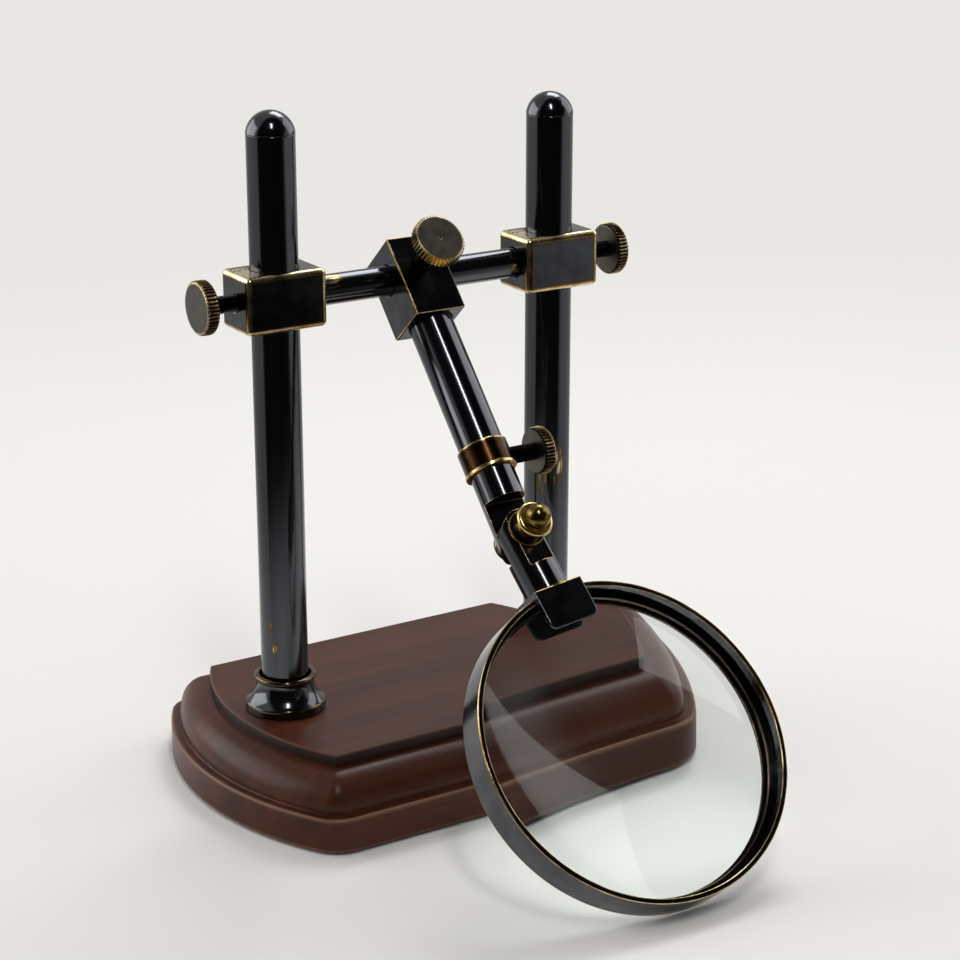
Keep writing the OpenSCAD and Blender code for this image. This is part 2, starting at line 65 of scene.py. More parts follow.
# the counterbore and the hole for a pillar's bolt: radius, bottom and top
BOLT_HOLES = ((9.5, -1, 9.6), (3.5, -1, 40))
EDGE_REACH = 0.6
# turns in radians along a section: a gentler edge isn't rubbed, a sharper one fully is
GENTLE_EDGE = 0.2
SHARP_EDGE = 1.0


def arc(centre_x, centre_z, radius, start, end, steps):
    """Points on an arc, from one angle to another in degrees."""
    angles = [radians(start + (end - start) * i / steps) for i in range(steps + 1)]
    return [(centre_x + radius * cos(a), centre_z + radius * sin(a)) for a in angles]


def skin(name, rows, looped=False, rubbed=None):
    """A piece whose faces run from row to row. Each row is a closed loop of points in
    millimetres. A looped piece joins its last row to its first, and any other is capped.
    How rubbed each row is goes with its points, for the materials."""
    count = len(rows[0])
    points = [tuple(c * MM for c in point) for row in rows for point in row]
    faces = []
    for r in range(len(rows) if looped else len(rows) - 1):
        lower, upper = r * count, (r + 1) % len(rows) * count
        for i in range(count):
            j = (i + 1) % count
            faces.append((lower + i, lower + j, upper + j, upper + i))
    if not looped:
        faces.append(tuple(reversed(range(count))))
        faces.append(tuple(range(len(points) - count, len(points))))
    mesh = bpy.data.meshes.new(name)
    mesh.from_pydata(points, [], faces)
    if rubbed:
        wear = mesh.attributes.new("rubbed", "FLOAT", "POINT")
        wear.data.foreach_set("value", [amount for amount in rubbed for _ in range(count)])
    mesh.update()
    piece = bpy.data.objects.new(name, mesh)
    bpy.context.scene.collection.objects.link(piece)
    return piece


def rub(section, reach, looped=False):
    """A section with more points near its corners, and how rubbed each point is: 1 on
    an outward corner and 0 from that many millimetres away."""
    ends = zip(section, section[1:] + section[:1]) if looped else zip(section, section[1:])
    points = []
    for start, end in ends:
        points.append(start)
        length = hypot(end[0] - start[0], end[1] - start[1])
        # the rubbing ends on points of its own, where there is room for them
        if length > 2.2 * reach:
            for t in (reach / length, 1 - reach / length):
                points.append(tuple(a + (b - a) * t for a, b in zip(start, end)))
    if not looped:
        points.append(section[-1])
    count = len(points)
    steps = [Vector(points[(i + 1) % count][:2]) - Vector(points[i][:2]) for i in range(count)]
    turns = []
    for i in range(count):
        still = steps[i - 1].length * steps[i].length == 0
        turns.append(0 if still else steps[i].angle_signed(steps[i - 1]))
    if not looped:
        turns[0] = turns[-1] = 0
    # turns that lie close together add up, so that a rounded edge counts as one edge
    amounts = []
    for i in range(count):
        near = turns[i]
        for way in (1, -1):
            travelled, j = 0, i
            while True:
                travelled += steps[j if way > 0 else j - 1].length
                j = (j + way) % count
                if travelled > 0.7 * reach or j == i or not looped and j in (0, count - 1):
                    break
                near += turns[j]
        amounts.append(min(1, max(0, (near - GENTLE_EDGE) / (SHARP_EDGE - GENTLE_EDGE))))
    return points, amounts


def carve(piece, tool, operation="DIFFERENCE"):
    """Cuts the tool's shape out of the piece, or keeps or adds it, and drops the tool."""
    cut = piece.modifiers.new("cut", "BOOLEAN")
    cut.operation = operation
    cut.solver = "EXACT"
    cut.object = tool
    settle(piece)
    bpy.data.objects.remove(tool)


def settle(piece):
    """Makes what the piece's modifiers do part of its mesh."""
    bpy.context.view_layer.update()
    shaped = piece.evaluated_get(bpy.context.evaluated_depsgraph_get())
    mesh = bpy.data.meshes.new_from_object(shaped)
    piece.modifiers.clear()
    piece.data = mesh


def stand_for(piece, node, body):
    """The piece takes the place of the CAD node, with its finish, on its body."""
    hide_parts(node)
    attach(piece, body)


def dress(piece, material, node, body, place=Matrix(), crease=35):
    """Shades the piece smooth but for its edges and its flat faces, gives it its
    material, and puts it in its place instead of the CAD node."""
    piece.data.shade_smooth()
    piece.data.set_sharp_from_angle(angle=radians(crease))
    flat = piece.modifiers.new("flat faces stay flat", "WEIGHTED_NORMAL")
    flat.keep_sharp = True
    piece.data.materials.append(material)
    piece.matrix_world = place
    stand_for(piece, node, body)


def base_outline(inset, corner):
    """The base's outline that far inside its foot, with rounded corners."""
    half_width = BASE_HALF_WIDTH - inset
    end_radius = BASE_END_RADIUS - inset
    corner_y = half_width - corner
    corner_x = sqrt((end_radius - corner) ** 2 - corner_y ** 2) - BASE_END_CENTRE
    bow = pi / 2 - Vector((corner_x + BASE_END_CENTRE, corner_y)).angle(Vector((0, 1)))
    bow = bow * 180 / pi
    right = arc(corner_x, -corner_y, corner, -90, -bow, 10)
    right += arc(-BASE_END_CENTRE, 0, end_radius, -bow, bow, 60)[1:-1]
    right += arc(corner_x, corner_y, corner, bow, 90, 10)
    left = [(-x, -y) for x, y in right]
    return right + left


def base_rows():
    """The rows of the base, from the felt up to the flat top. Each point of the section
    is its inset from the foot, its height, and how far the corners are rounded there."""
    section = [(4.0, FELT_TOP, 14), (0.9, FELT_TOP, 14), (0.3, FELT_TOP + 0.3, 14)]
    section += [(0, FELT_TOP + 0.9, 14), (0, 6.0, 13), (0, 11.4, 12)]
    rounding = arc(0, BAND_TOP - BAND_ROUNDING, BAND_ROUNDING, 0, 90, 6)
    section += [(BAND_ROUNDING - x, z, 12) for x, z in rounding]
    section += [(2.7, BAND_TOP, 10), (3.1, BAND_TOP + 0.15, 9.5), (3.3, BAND_TOP + 0.5, 9)]
    ovolo = arc(OVOLO_INSET, OVOLO_FOOT, OVOLO_RADIUS, 180, 90, OVOLO_STEPS)
    for i, (x, z) in enumerate(ovolo):
        section.append((x, z, OVOLO_CORNER - OVOLO_CORNER_LOSS * i / OVOLO_STEPS))
    section += [(14.3, 26.0, 0.6), (14.3, 29.0, 0.6), (14.4, 29.35, 0.6), (14.65, 29.5, 0.6)]
    section += [(15.2, BASE_TOP, 0.6)]
    points, rubbed = rub([(-inset, z, corner) for inset, z, corner in section], EDGE_REACH)
    rows = [[(x, y, z) for x, y in base_outline(-inset, corner)] for inset, z, corner in points]
    # the panel's edge gets less of the painted edge highlight and rubbing
    wear = [PANEL_EDGE_HIGHLIGHT if z > PANEL_FOOT else 1 for _, z, _ in points]
    return rows, [amount * share for amount, share in zip(rubbed, wear)]


def cylinder(name, radius, bottom, top, steps=96):
    """A plain round bar along Z."""
    return lathe(name, [(radius, bottom), (radius, top)], steps)


def lathe(name, profile, steps=128, looped=False, reach=EDGE_REACH):
    """A turned piece. The profile is its half-section as points of radius and height, up
    the outside. Its edges are rubbed for that many millimetres."""
    angles = [tau * i / steps for i in range(steps)]
    points, rubbed = rub(profile, reach, looped)
    rows = [[(r * cos(a), r * sin(a), z) for a in angles] for r, z in points]
    return skin(name, rows, looped, rubbed)


rows, rubbed = base_rows()
base = skin("moulded_base", rows, rubbed=rubbed)
for side in (-1, 1):
    for radius, bottom, top in BOLT_HOLES:
        hole = cylinder("bolt_hole", radius, bottom, top)
        hole.location.x = side * PILLAR_X * MM
        carve(base, hole)


def linear(colour):
    """An sRGB hex colour as the numbers that a shader takes."""
    parts = [int(colour[i:i + 2], 16) / 255 for i in (1, 3, 5)]
    return [p / 12.92 if p <= 0.04045 else ((p + 0.055) / 1.055) ** 2.4 for p in parts] + [1]


def add_node(tree, kind, settings, inputs):
    """Adds a node. An input is a number, a colour, another node or one of its outputs."""
    node = tree.nodes.new("ShaderNode" + kind)
    for name, value in settings.items():
        setattr(node, name, value)
    for name, value in inputs.items():
        if isinstance(value, bpy.types.Node):
            value = value.outputs[0]
        if isinstance(value, bpy.types.NodeSocket):
            tree.links.new(value, node.inputs[name])
        else:
            node.inputs[name].default_value = value
    return node


def new_material(name):
    """A new material, and what adds nodes to it."""
    material = bpy.data.materials.new(name)
    material.use_nodes = True
    material.node_tree.nodes.clear()
    return material, partial(add_node, material.node_tree)


TIMES = {"operation": "MULTIPLY"}


# Stained mahogany: the stain gathers in the pores, which run along the base. The upright
# of the step is painted black, as shade and old polish, and the edges lighter, as a painted
# highlight and rubbed stain. The lacquer gives a soft, broken shine.

DARK_FIGURE = linear("#3c1c11")
LIGHT_FIGURE = linear("#562a1b")
STAIN_IN_PORES = linear("#260d07")
RUBBED_AND_HIGHLIT_WOOD = linear("#a47f68")
SHADE_AND_OLD_POLISH = linear("#160a07")


def stained_mahogany():
    wood, add = new_material("stained mahogany, satin lacquer")
    place = add("TexCoord", {}, {}).outputs["Object"]
    # the figure: stripes of 9 mm that run 160 mm along the board
    stretched = add("VectorMath", TIMES, {0: place, 1: (1 / 0.16, 1 / 0.009, 1 / 0.02)})
    figure = add("TexNoise", {}, {
        "Vector": stretched, "Scale": 1.0, "Detail": 4.0, "Distortion": 0.6,
    })
    # the pores: 0.5 mm wide, a little coarser than real so that they show, and 9 mm long
    combed = add("VectorMath", TIMES, {0: place, 1: (1 / 0.009, 1 / 0.0005, 1 / 0.0008)})
    pores = add("TexNoise", {}, {"Vector": combed, "Scale": 1.0, "Detail": 3.0, "Roughness": 0.6})
    pore_lines = add("MapRange", {}, {"Value": pores, "From Min": 0.5, "From Max": 0.72})
    # cloudiness in the stain, 40 mm across
    clouds = add("TexNoise", {}, {"Vector": place, "Scale": 1 / 0.04, "Detail": 2.0})
    heart = add("MapRange", {}, {"Value": figure, "From Min": 0.32, "From Max": 0.68})
    colour = add("MixRGB", {}, {"Fac": heart, "Color1": DARK_FIGURE, "Color2": LIGHT_FIGURE})
    colour = add("MixRGB", {"blend_type": "MULTIPLY"}, {
        "Fac": 0.35, "Color1": colour, "Color2": clouds,
    })
    dark = add("Math", TIMES, {0: pore_lines, 1: 0.45})
    colour = add("MixRGB", {}, {"Fac": dark, "Color1": colour, "Color2": STAIN_IN_PORES})
    # the edges are lighter: painted highlight along the moulding's rounded edges, and the stain
    # rubbed thin there
    edges = add("Attribute", {"attribute_name": "rubbed"}, {}).outputs["Fac"]
    edge_highlight = add("Math", TIMES, {0: edges, 1: 0.45})
    colour = add("MixRGB", {}, {"Fac": edge_highlight, "Color1": colour, "Color2": RUBBED_AND_HIGHLIT_WOOD})
    # painted shade: the upright of the step is made black, for the shade there and for stain and
    # old polish built up on it
    height = add("SeparateXYZ", {}, {"Vector": place}).outputs["Z"]
    above = add("MapRange", {}, {"Value": height, "From Min": 25.2 * MM, "From Max": 26.2 * MM})
    below = add("MapRange", {}, {"Value": height, "From Min": 29.1 * MM, "From Max": 28.7 * MM})
    step_shade_and_polish = add("Math", TIMES, {0: above, 1: below})
    step_shade_and_polish = add("Math", TIMES, {0: step_shade_and_polish, 1: 0.85})
    colour = add("MixRGB", {}, {"Fac": step_shade_and_polish, "Color1": colour, "Color2": SHADE_AND_OLD_POLISH})
    shine = add("MapRange", {}, {"Value": clouds, "To Min": 0.26, "To Max": 0.4})
    dents = add("Bump", {}, {"Height": pore_lines, "Strength": 0.25, "Distance": 0.00006})
    surface = add("BsdfPrincipled", {}, {
        "Base Color": colour, "Roughness": shine, "Normal": dents, "IOR": 1.5,
        "Specular IOR Level": 0.2,
    })
    add("OutputMaterial", {}, {"Surface": surface})
    return wood


dress(base, stained_mahogany(), "wood_base", "base", crease=28)


# Felt under the base
# A sheet of pressed wool felt, glued to the underside and cut a little inside the foot.

DEEP_FELT = linear("#181b18")
FELT_NAP = linear("#343832")


def pressed_felt():
    felt, add = new_material("pressed wool felt")
    place = add("TexCoord", {}, {}).outputs["Object"]
    # matted fibres, 0.6 mm apart
    fibres = add("TexNoise", {}, {"Vector": place, "Scale": 1 / 0.0006, "Detail": 3.0})
    colour = add("MixRGB", {}, {"Fac": fibres, "Color1": DEEP_FELT, "Color2": FELT_NAP})
    nap = add("Bump", {}, {"Height": fibres, "Strength": 0.8, "Distance": 0.0003})
    surface = add("BsdfPrincipled", {}, {
        "Base Color": colour, "Roughness": 0.95, "Normal": nap, "Sheen Weight": 0.3,
    })
    add("OutputMaterial", {}, {"Surface": surface})
    return felt


def refinish(node, material):
    """Gives a CAD node that stays a better material."""
    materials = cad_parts[node].data.materials
    materials.clear()
    materials.append(material)


refinish("felt_pad", pressed_felt())


# Pillar plugs, bolts and washers
# Each pillar is held from below: a slotted steel bolt and washer in the base's
# counterbore, run into a brass plug that is soldered inside the tube's foot.

def turned_metal(name, colour, shade, roughness):
    """Plain turned bar: fine marks from the tool and a dull, even shine."""
    metal, add = new_material(name)
    place = add("TexCoord", {}, {}).outputs["Object"]
    # tool marks 0.3 mm apart, and stains 6 mm across
    marks = add("TexNoise", {}, {"Vector": place, "Scale": 1 / 0.0003, "Detail": 2.0})
    stains = add("TexNoise", {}, {"Vector": place, "Scale": 1 / 0.006, "Detail": 3.0})
    tone = add("MixRGB", {}, {"Fac": stains, "Color1": linear(colour), "Color2": linear(shade)})
    shine = add("MapRange", {}, {
        "Value": stains, "To Min": roughness - 0.08, "To Max": roughness + 0.1,
    })
    grooves = add("Bump", {}, {"Height": marks, "Strength": 0.3, "Distance": 0.00004})
    surface = add("BsdfPrincipled", {}, {
        "Base Color": tone, "Metallic": 1.0, "Roughness": shine, "Normal": grooves,
    })
    add("OutputMaterial", {}, {"Surface": surface})
    return metal


turned_steel = turned_metal("turned steel", "#a3a39f", "#7d7b76", 0.34)
refinish("pillar_bolts", turned_steel)
refinish("pillar_washers", turned_steel)
refinish("pillar_plugs", turned_metal("turned brass", "#c79d55", "#9a7338", 0.3))


# Foot flanges
# Turned brass sockets, blackened and polished: an upright foot, a hollow sweep and a
# rolled rim, with the pillar standing in a cup a little wider than itself.

def rubbed_rows(add, place):
    """The rubbing that a turned piece's own rows carry."""
    return add("Attribute", {"attribute_name": "rubbed"}, {}).outputs["Fac"]


def rubbed_box(size, middle, reach):
    """The rubbing of a block: 1 on its edges and 0 that many millimetres away."""
    def rubbing(add, place):
        centred = add("VectorMath", {"operation": "SUBTRACT"}, {
            0: place, 1: tuple(c * MM for c in middle),
        })
        out = add("VectorMath", {"operation": "ABSOLUTE"}, {0: centred})
        inset = add("VectorMath", {"operation": "SUBTRACT"}, {
            0: tuple(c * MM / 2 for c in size), 1: out,
        })
        x, y, z = add("SeparateXYZ", {}, {"Vector": inset}).outputs
        least = add("Math", {"operation": "MINIMUM"}, {0: x, 1: y})
        most = add("Math", {"operation": "MAXIMUM"}, {0: x, 1: y})
        nearer = add("Math", {"operation": "MINIMUM"}, {0: most, 1: z})
        # the second smallest of the three: the face's own inset is the smallest
        to_edge = add("Math", {"operation": "MAXIMUM"}, {0: least, 1: nearer})
        return add("MapRange", {}, {"Value": to_edge, "From Min": reach * MM, "From Max": 0.0})
    return rubbing


def rubbed_corners(reach):
    """The rubbing of a milled piece, along its sharp corners."""
    def rubbing(add, place):
        rounded = add("Bevel", {"samples": 8}, {"Radius": reach * MM})
        here = add("NewGeometry", {}, {}).outputs["Normal"]
        turn = add("VectorMath", {"operation": "DOT_PRODUCT"}, {0: rounded, 1: here})
        return add("MapRange", {}, {
            "Value": turn.outputs["Value"], "From Min": 0.995, "From Max": 0.9,
        })
    return rubbing


GENTLY = {"interpolation_type": "SMOOTHSTEP"}
BATH_DARK = linear("#494a4e")
BATH_LIGHT = linear("#585a5e")
# as the black wears away, brass shows brown, then gold, then bright: the wear at which
# each starts and is full
WEAR_TONES = (
    (0.02, 0.25, linear("#5a482c")),
    (0.2, 0.5, linear("#ad8b50")),
    (0.45, 0.75, linear("#e9dcb2")),
)


def blackened_brass(piece, gold, edges=rubbed_rows, drawn=1, spots=()):
    """Brass that was blackened in a bath and polished. Handling has worn it to bare
    brass along its edges, as deep as gold says, and in the given spots; on the crossbar one
    spot is a painted reflection instead. Marks are drawn out along Z to that many times their
    width."""
    metal, add = new_material("blackened brass, " + piece)
    place = add("TexCoord", {}, {}).outputs["Object"]

    def marks(width, length, detail):
        """Cloudy marks of that width, and that length along Z, in millimetres."""
        stretch = (1 / (width * MM), 1 / (width * MM), 1 / (length * MM))
        drawn_out = add("VectorMath", TIMES, {0: place, 1: stretch})
        return add("TexNoise", {}, {"Vector": drawn_out, "Scale": 1.0, "Detail": detail})

    # the bath's cloudiness, 7 mm across
    clouds = marks(7, 7 * drawn, 3.0)
    # a worn edge widens and narrows over 9 mm, and breaks up at 1.2 mm
    breadth = add("MapRange", {}, {
        "Value": marks(9, 9, 2.0), "From Min": 0.3, "From Max": 0.7, "To Min": 0.45,
    })
    ragged = add("MapRange", {}, {
        "Value": marks(1.2, 1.2 * sqrt(drawn), 3.0),
        "From Min": 0.3, "From Max": 0.6, "To Min": 0.75,
    })
    broken = add("Math", TIMES, {0: breadth, 1: ragged})
    worn = add("Math", TIMES, {0: edges(add, place), 1: broken})
    worn = add("Math", TIMES, {0: worn, 1: gold})
    for centre, reach, depth in spots:
        offset = add("VectorMath", {"operation": "SUBTRACT"}, {
            0: place, 1: tuple(c * MM for c in centre),
        })
        scaled = add("VectorMath", {"operation": "DIVIDE"}, {
            0: offset, 1: tuple(c * MM for c in reach),
        })
        away = add("VectorMath", {"operation": "LENGTH"}, {0: scaled}).outputs["Value"]
        near = add("MapRange", GENTLY, {
            "Value": away, "From Min": 1.0, "From Max": 0.0, "To Max": depth,
        })
        # a spot breaks up into streaks of 0.9 mm
        streaks = add("MapRange", {}, {
            "Value": marks(0.9, 0.9 * sqrt(drawn), 4.0), "From Min": 0.42, "From Max": 0.62,
        })
        patch = add("Math", TIMES, {0: near, 1: streaks})
        worn = add("Math", {"operation": "MAXIMUM", "use_clamp": True}, {0: worn, 1: patch})
    bath = add("MapRange", {}, {"Value": clouds, "From Min": 0.35, "From Max": 0.65})
    colour = add("MixRGB", {}, {"Fac": bath, "Color1": BATH_DARK, "Color2": BATH_LIGHT})
    for start, end, bared in WEAR_TONES:
        share = add("MapRange", {}, {"Value": worn, "From Min": start, "From Max": end})
        colour = add("MixRGB", {}, {"Fac": share, "Color1": colour, "Color2": bared})
    # polishing lines, 0.4 mm apart
    lines = marks(0.4, 0.4 * drawn, 2.0)
    haze = add("Math", {"operation": "MULTIPLY_ADD"}, {0: lines, 1: 0.05, 2: 0.05})
    shine = add("Math", {"operation": "MULTIPLY_ADD"}, {0: clouds, 1: 0.12, 2: haze})
    shine = add("Math", {"operation": "MULTIPLY_ADD"}, {0: worn, 1: 0.1, 2: shine})
    softened = add("Bevel", {"samples": 6}, {"Radius": 0.3 * MM})
    # hand polishing leaves the surface very slightly wavy, 5 mm apart
    uneven = add("Bump", {}, {
        "Height": marks(5, 5 * drawn, 1.0), "Strength": 0.35, "Distance": 0.1 * MM,
        "Normal": softened,
    })
    surface = add("BsdfPrincipled", {}, {
        "Base Color": colour, "Metallic": 1.0, "Roughness": shine, "Normal": uneven,
    })
    add("OutputMaterial", {}, {"Surface": surface})
    return metal


FLANGE_PROFILE = (
    [(3.5, 0), (13.4, 0), (13.7, 0.3), (13.72, 2.8), (13.6, 3.15)]
    + arc(18.7, 10.6, 9, 234, 183, 18)
    + arc(9.5, 11.6, 1, -75, 90, 12)
    + [(9.1, 12.6), (8.95, 12.45), (8.9, 12.2), (8.9, 6.5), (8.02, 6.5), (8.02, 3), (3.5, 3)]
)
flange_black = blackened_brass("turned flange", gold=0.4)
for side, x in (("left", -PILLAR_X), ("right", PILLAR_X)):
    flange = lathe(side + "_flange", FLANGE_PROFILE, looped=True)
    dress(flange, flange_black, side + "_foot_flange", "base",
          Matrix.Translation((x * MM, 0, BASE_TOP * MM)))


# Pillars
# Drawn brass tube of 16 mm, blackened and polished along its length, with a domed cap
# pushed into the top so that a fine seam shows under it.

PILLAR_RADIUS = 8.0
PILLAR_BORE = 6.5
PILLAR_FOOT = 32.5
PILLAR_TOPS = {"left": 234.5, "right": 231.0}
CAP_HEIGHT = 7.4
CAP_LIP = 8.07
CAP_SPIGOT = [(6.2, -8), (6.48, -7.7), (6.48, 0), (7.9, 0), (CAP_LIP, 0.15)]
# how far marks are drawn out along a bar or tube, against their width
DRAWN = 30
# worn spots: the middle, the reach each way, and how deep the wear is
PILLAR_SPOTS = {
    "left": [((-6.2, -5.0, 21), (2.5, 2.5, 5), 0.75), ((-7, -3.5, 29), (2, 2, 4), 0.5)],
    "right": [((-1.0, -8.0, 68), (4.5, 4.5, 11), 1.0), ((-5.5, -5.8, 62), (3.5, 3.5, 13), 0.6)],
}


def tube(name, radius, bore, bottom, top):
    """A tube along Z with its ends faced off and the corners just broken."""
    corner = 0.15
    return lathe(name, [
        (bore, bottom), (radius - corner, bottom), (radius, bottom + corner),
        (radius, (bottom + top) / 2),
        (radius, top - corner), (radius - corner, top), (bore, top),
    ], 160, looped=True)


for side, x in (("left", -PILLAR_X), ("right", PILLAR_X)):
    seam = PILLAR_TOPS[side] - CAP_HEIGHT
    pillar_black = blackened_brass(
        side + " pillar", gold=0.08, drawn=DRAWN, spots=PILLAR_SPOTS[side])
    pillar = tube(side + "_pillar", PILLAR_RADIUS, PILLAR_BORE, 0, seam - PILLAR_FOOT)
    dress(pillar, pillar_black, side + "_pillar_tube", "base",
          Matrix.Translation((x * MM, 0, PILLAR_FOOT * MM)))

    dome = (CAP_LIP ** 2 + CAP_HEIGHT ** 2) / (2 * CAP_HEIGHT)
    rise = arc(0, CAP_HEIGHT - dome, dome, 5, 89.7, 30)
    cap = lathe(side + "_cap", CAP_SPIGOT + [(r, z) for r, z in rise if z > 0.4], 160)
    dress(cap, pillar_black, side + "_pillar_cap", "base",
          Matrix.Translation((x * MM, 0, seam * MM)))


# End blocks
# Square brass bar, drilled for the pillar, the crossbar and the clamp screw. The edges
# were eased with a file and have worn to bare brass from being held to slide them.

BAR_HEIGHT = 173.5
BLOCK_SIZE = (29.2, 18.9, 19.4)
BLOCK_EASING = 1.9
BLOCK_WEAR = 2.6
BLOCK_SPOTS = [((-12, -3, 9.7), (9, 15, 2.8), 2.8)]
BAR_SOCKET = 5.15
BAR_SOCKET_FLOOR = 9.6
SCREW_HOLE = 3.05


def eased_box(name, size, radius):
    """A block of metal with its edges rounded over."""
    x, y, z = (c / 2 for c in size)
    outline = [(-x, -y), (x, -y), (x, y), (-x, y)]
    block = skin(name, [[(px, py, -z) for px, py in outline], [(px, py, z) for px, py in outline]])
    easing = block.modifiers.new("eased edges", "BEVEL")
    easing.width = radius * MM
    easing.segments = 5
    settle(block)
    return block


def bore(block, radius, bottom, top, place=Matrix()):
    """Drills the block along the place's Z axis, with a small bevel at either mouth."""
    mouth = 0.35
    # past either face the drill flares at 45 degrees for another millimetre
    drill = lathe("drill", [
        (radius + mouth + 1, bottom - 1), (radius, bottom + mouth),
        (radius, top - mouth), (radius + mouth + 1, top + 1),
    ], 96)
    drill.matrix_world = place
    carve(block, drill)


block_wear = rubbed_box(BLOCK_SIZE, (0, 0, 0), BLOCK_WEAR)
side_black = blackened_brass("end blocks", gold=1.5, edges=block_wear, spots=BLOCK_SPOTS)
half_length = BLOCK_SIZE[0] / 2
half_height = BLOCK_SIZE[2] / 2
for side, sign in (("left", -1), ("right", 1)):
    block = eased_box(side + "_block", BLOCK_SIZE, BLOCK_EASING)
    towards_bar = Matrix.Rotation(-sign * pi / 2, 4, "Y")
    bore(block, PILLAR_RADIUS + 0.05, -half_height, half_height)
    bore(block, BAR_SOCKET, BAR_SOCKET_FLOOR, half_length, towards_bar)
    bore(block, SCREW_HOLE, -half_length, 0, towards_bar)
    dress(block, side_black, side + "_slider_block", "carriage",
          Matrix.Translation((sign * PILLAR_X * MM, 0, BAR_HEIGHT * MM)))


# Clamp screws of the end blocks
# Brass thumb-screws: a straight-knurled head, faced off flat, on an M6 thread. The
# black is left in the knurl's grooves and worn off its ridges.

THREAD_RADIUS = 3
THREAD_PITCH = 1.0
THREAD_DEPTH = 0.55
THREAD_START = 1.5
THREAD_INTO_HEAD = 0.5
THREAD_STEPS = 8
TIP_ROWS = ((2.0, 0), (2.4, 1.2))
KNURL_DEPTH = 0.5
HEAD_THICKNESS = 4.4
CLAMP_REACH = 15.88
CLAMP_TIP = 61.52
CLAMP_HEAD = 9.0
CLAMP_RIDGES = 44

FACE_DARK = linear("#4a453e")
FACE_LIGHT = linear("#6c665c")
THREAD_BLACK = linear("#161614")
GROOVE_BLACK = linear("#14110d")
RIDGE_BRASS = linear("#b3966c")
RIM_BRASS = linear("#cdb489")
FINGERED_BRASS = linear("#d9a94e")
# how far inside the head's radius each finish starts and is full
RIDGE_BAND = (0.42, 0.08)
GROOVE_BAND = (0.95, 0.6)
RIM_BAND = (1.3, 0.9)


def thumb_screw(name, reach, head_radius, ridges, punched=False):
    """A thumb-screw along Z, with its tip at 0 and the back of its head at reach."""
    steps = ridges * 6
    angles = [tau * i / steps for i in range(steps)]
    top = reach + HEAD_THICKNESS
    face = [(head_radius - 1.5, top - 0.02, 0), (0.75, top - 0.04, 0)]
    if punched:
        face += [(0.6, top - 0.1, 0), (0.06, top - 0.5, 0)]
    # the head's rows: radius, height, and how deep the knurl is cut there
    head_rows = [
        (2.0, reach, 0), (head_radius - 1.2, reach, 0), (head_radius - 0.75, reach + 0.08, 0.1),
        (head_radius - 0.2, reach + 0.5, 0.8), (head_radius, reach + 0.9, 1),
        (head_radius, top - 0.9, 1), (head_radius - 0.2, top - 0.5, 0.8),
        (head_radius - 0.7, top - 0.1, 0.1), (head_radius - 1.1, top, 0),
    ] + face
    rows = []
    for radius, z, cut in head_rows:
        row = []
        for a in angles:
            groove = cut * KNURL_DEPTH * (0.5 - 0.5 * cos(ridges * a)) ** 0.8
            row.append(((radius - groove) * cos(a), (radius - groove) * sin(a), z))
        rows.append(row)
    screw = skin(name, rows)

    turn = [tau * i / 40 for i in range(40)]
    levels = int((reach + THREAD_INTO_HEAD - THREAD_START) / THREAD_PITCH * THREAD_STEPS)
    shank_rows = [[(r * cos(a), r * sin(a), z) for a in turn] for r, z in TIP_ROWS]
    for level in range(levels + 1):
        z = THREAD_START + level * THREAD_PITCH / THREAD_STEPS
        row = []
        for a in turn:
            phase = (z / THREAD_PITCH - a / tau) % 1
            radius = THREAD_RADIUS - THREAD_DEPTH * (1 - abs(2 * phase - 1))
            row.append((radius * cos(a), radius * sin(a), z))
        shank_rows.append(row)
    carve(screw, skin(name + "_shank", shank_rows), "UNION")
    return screw


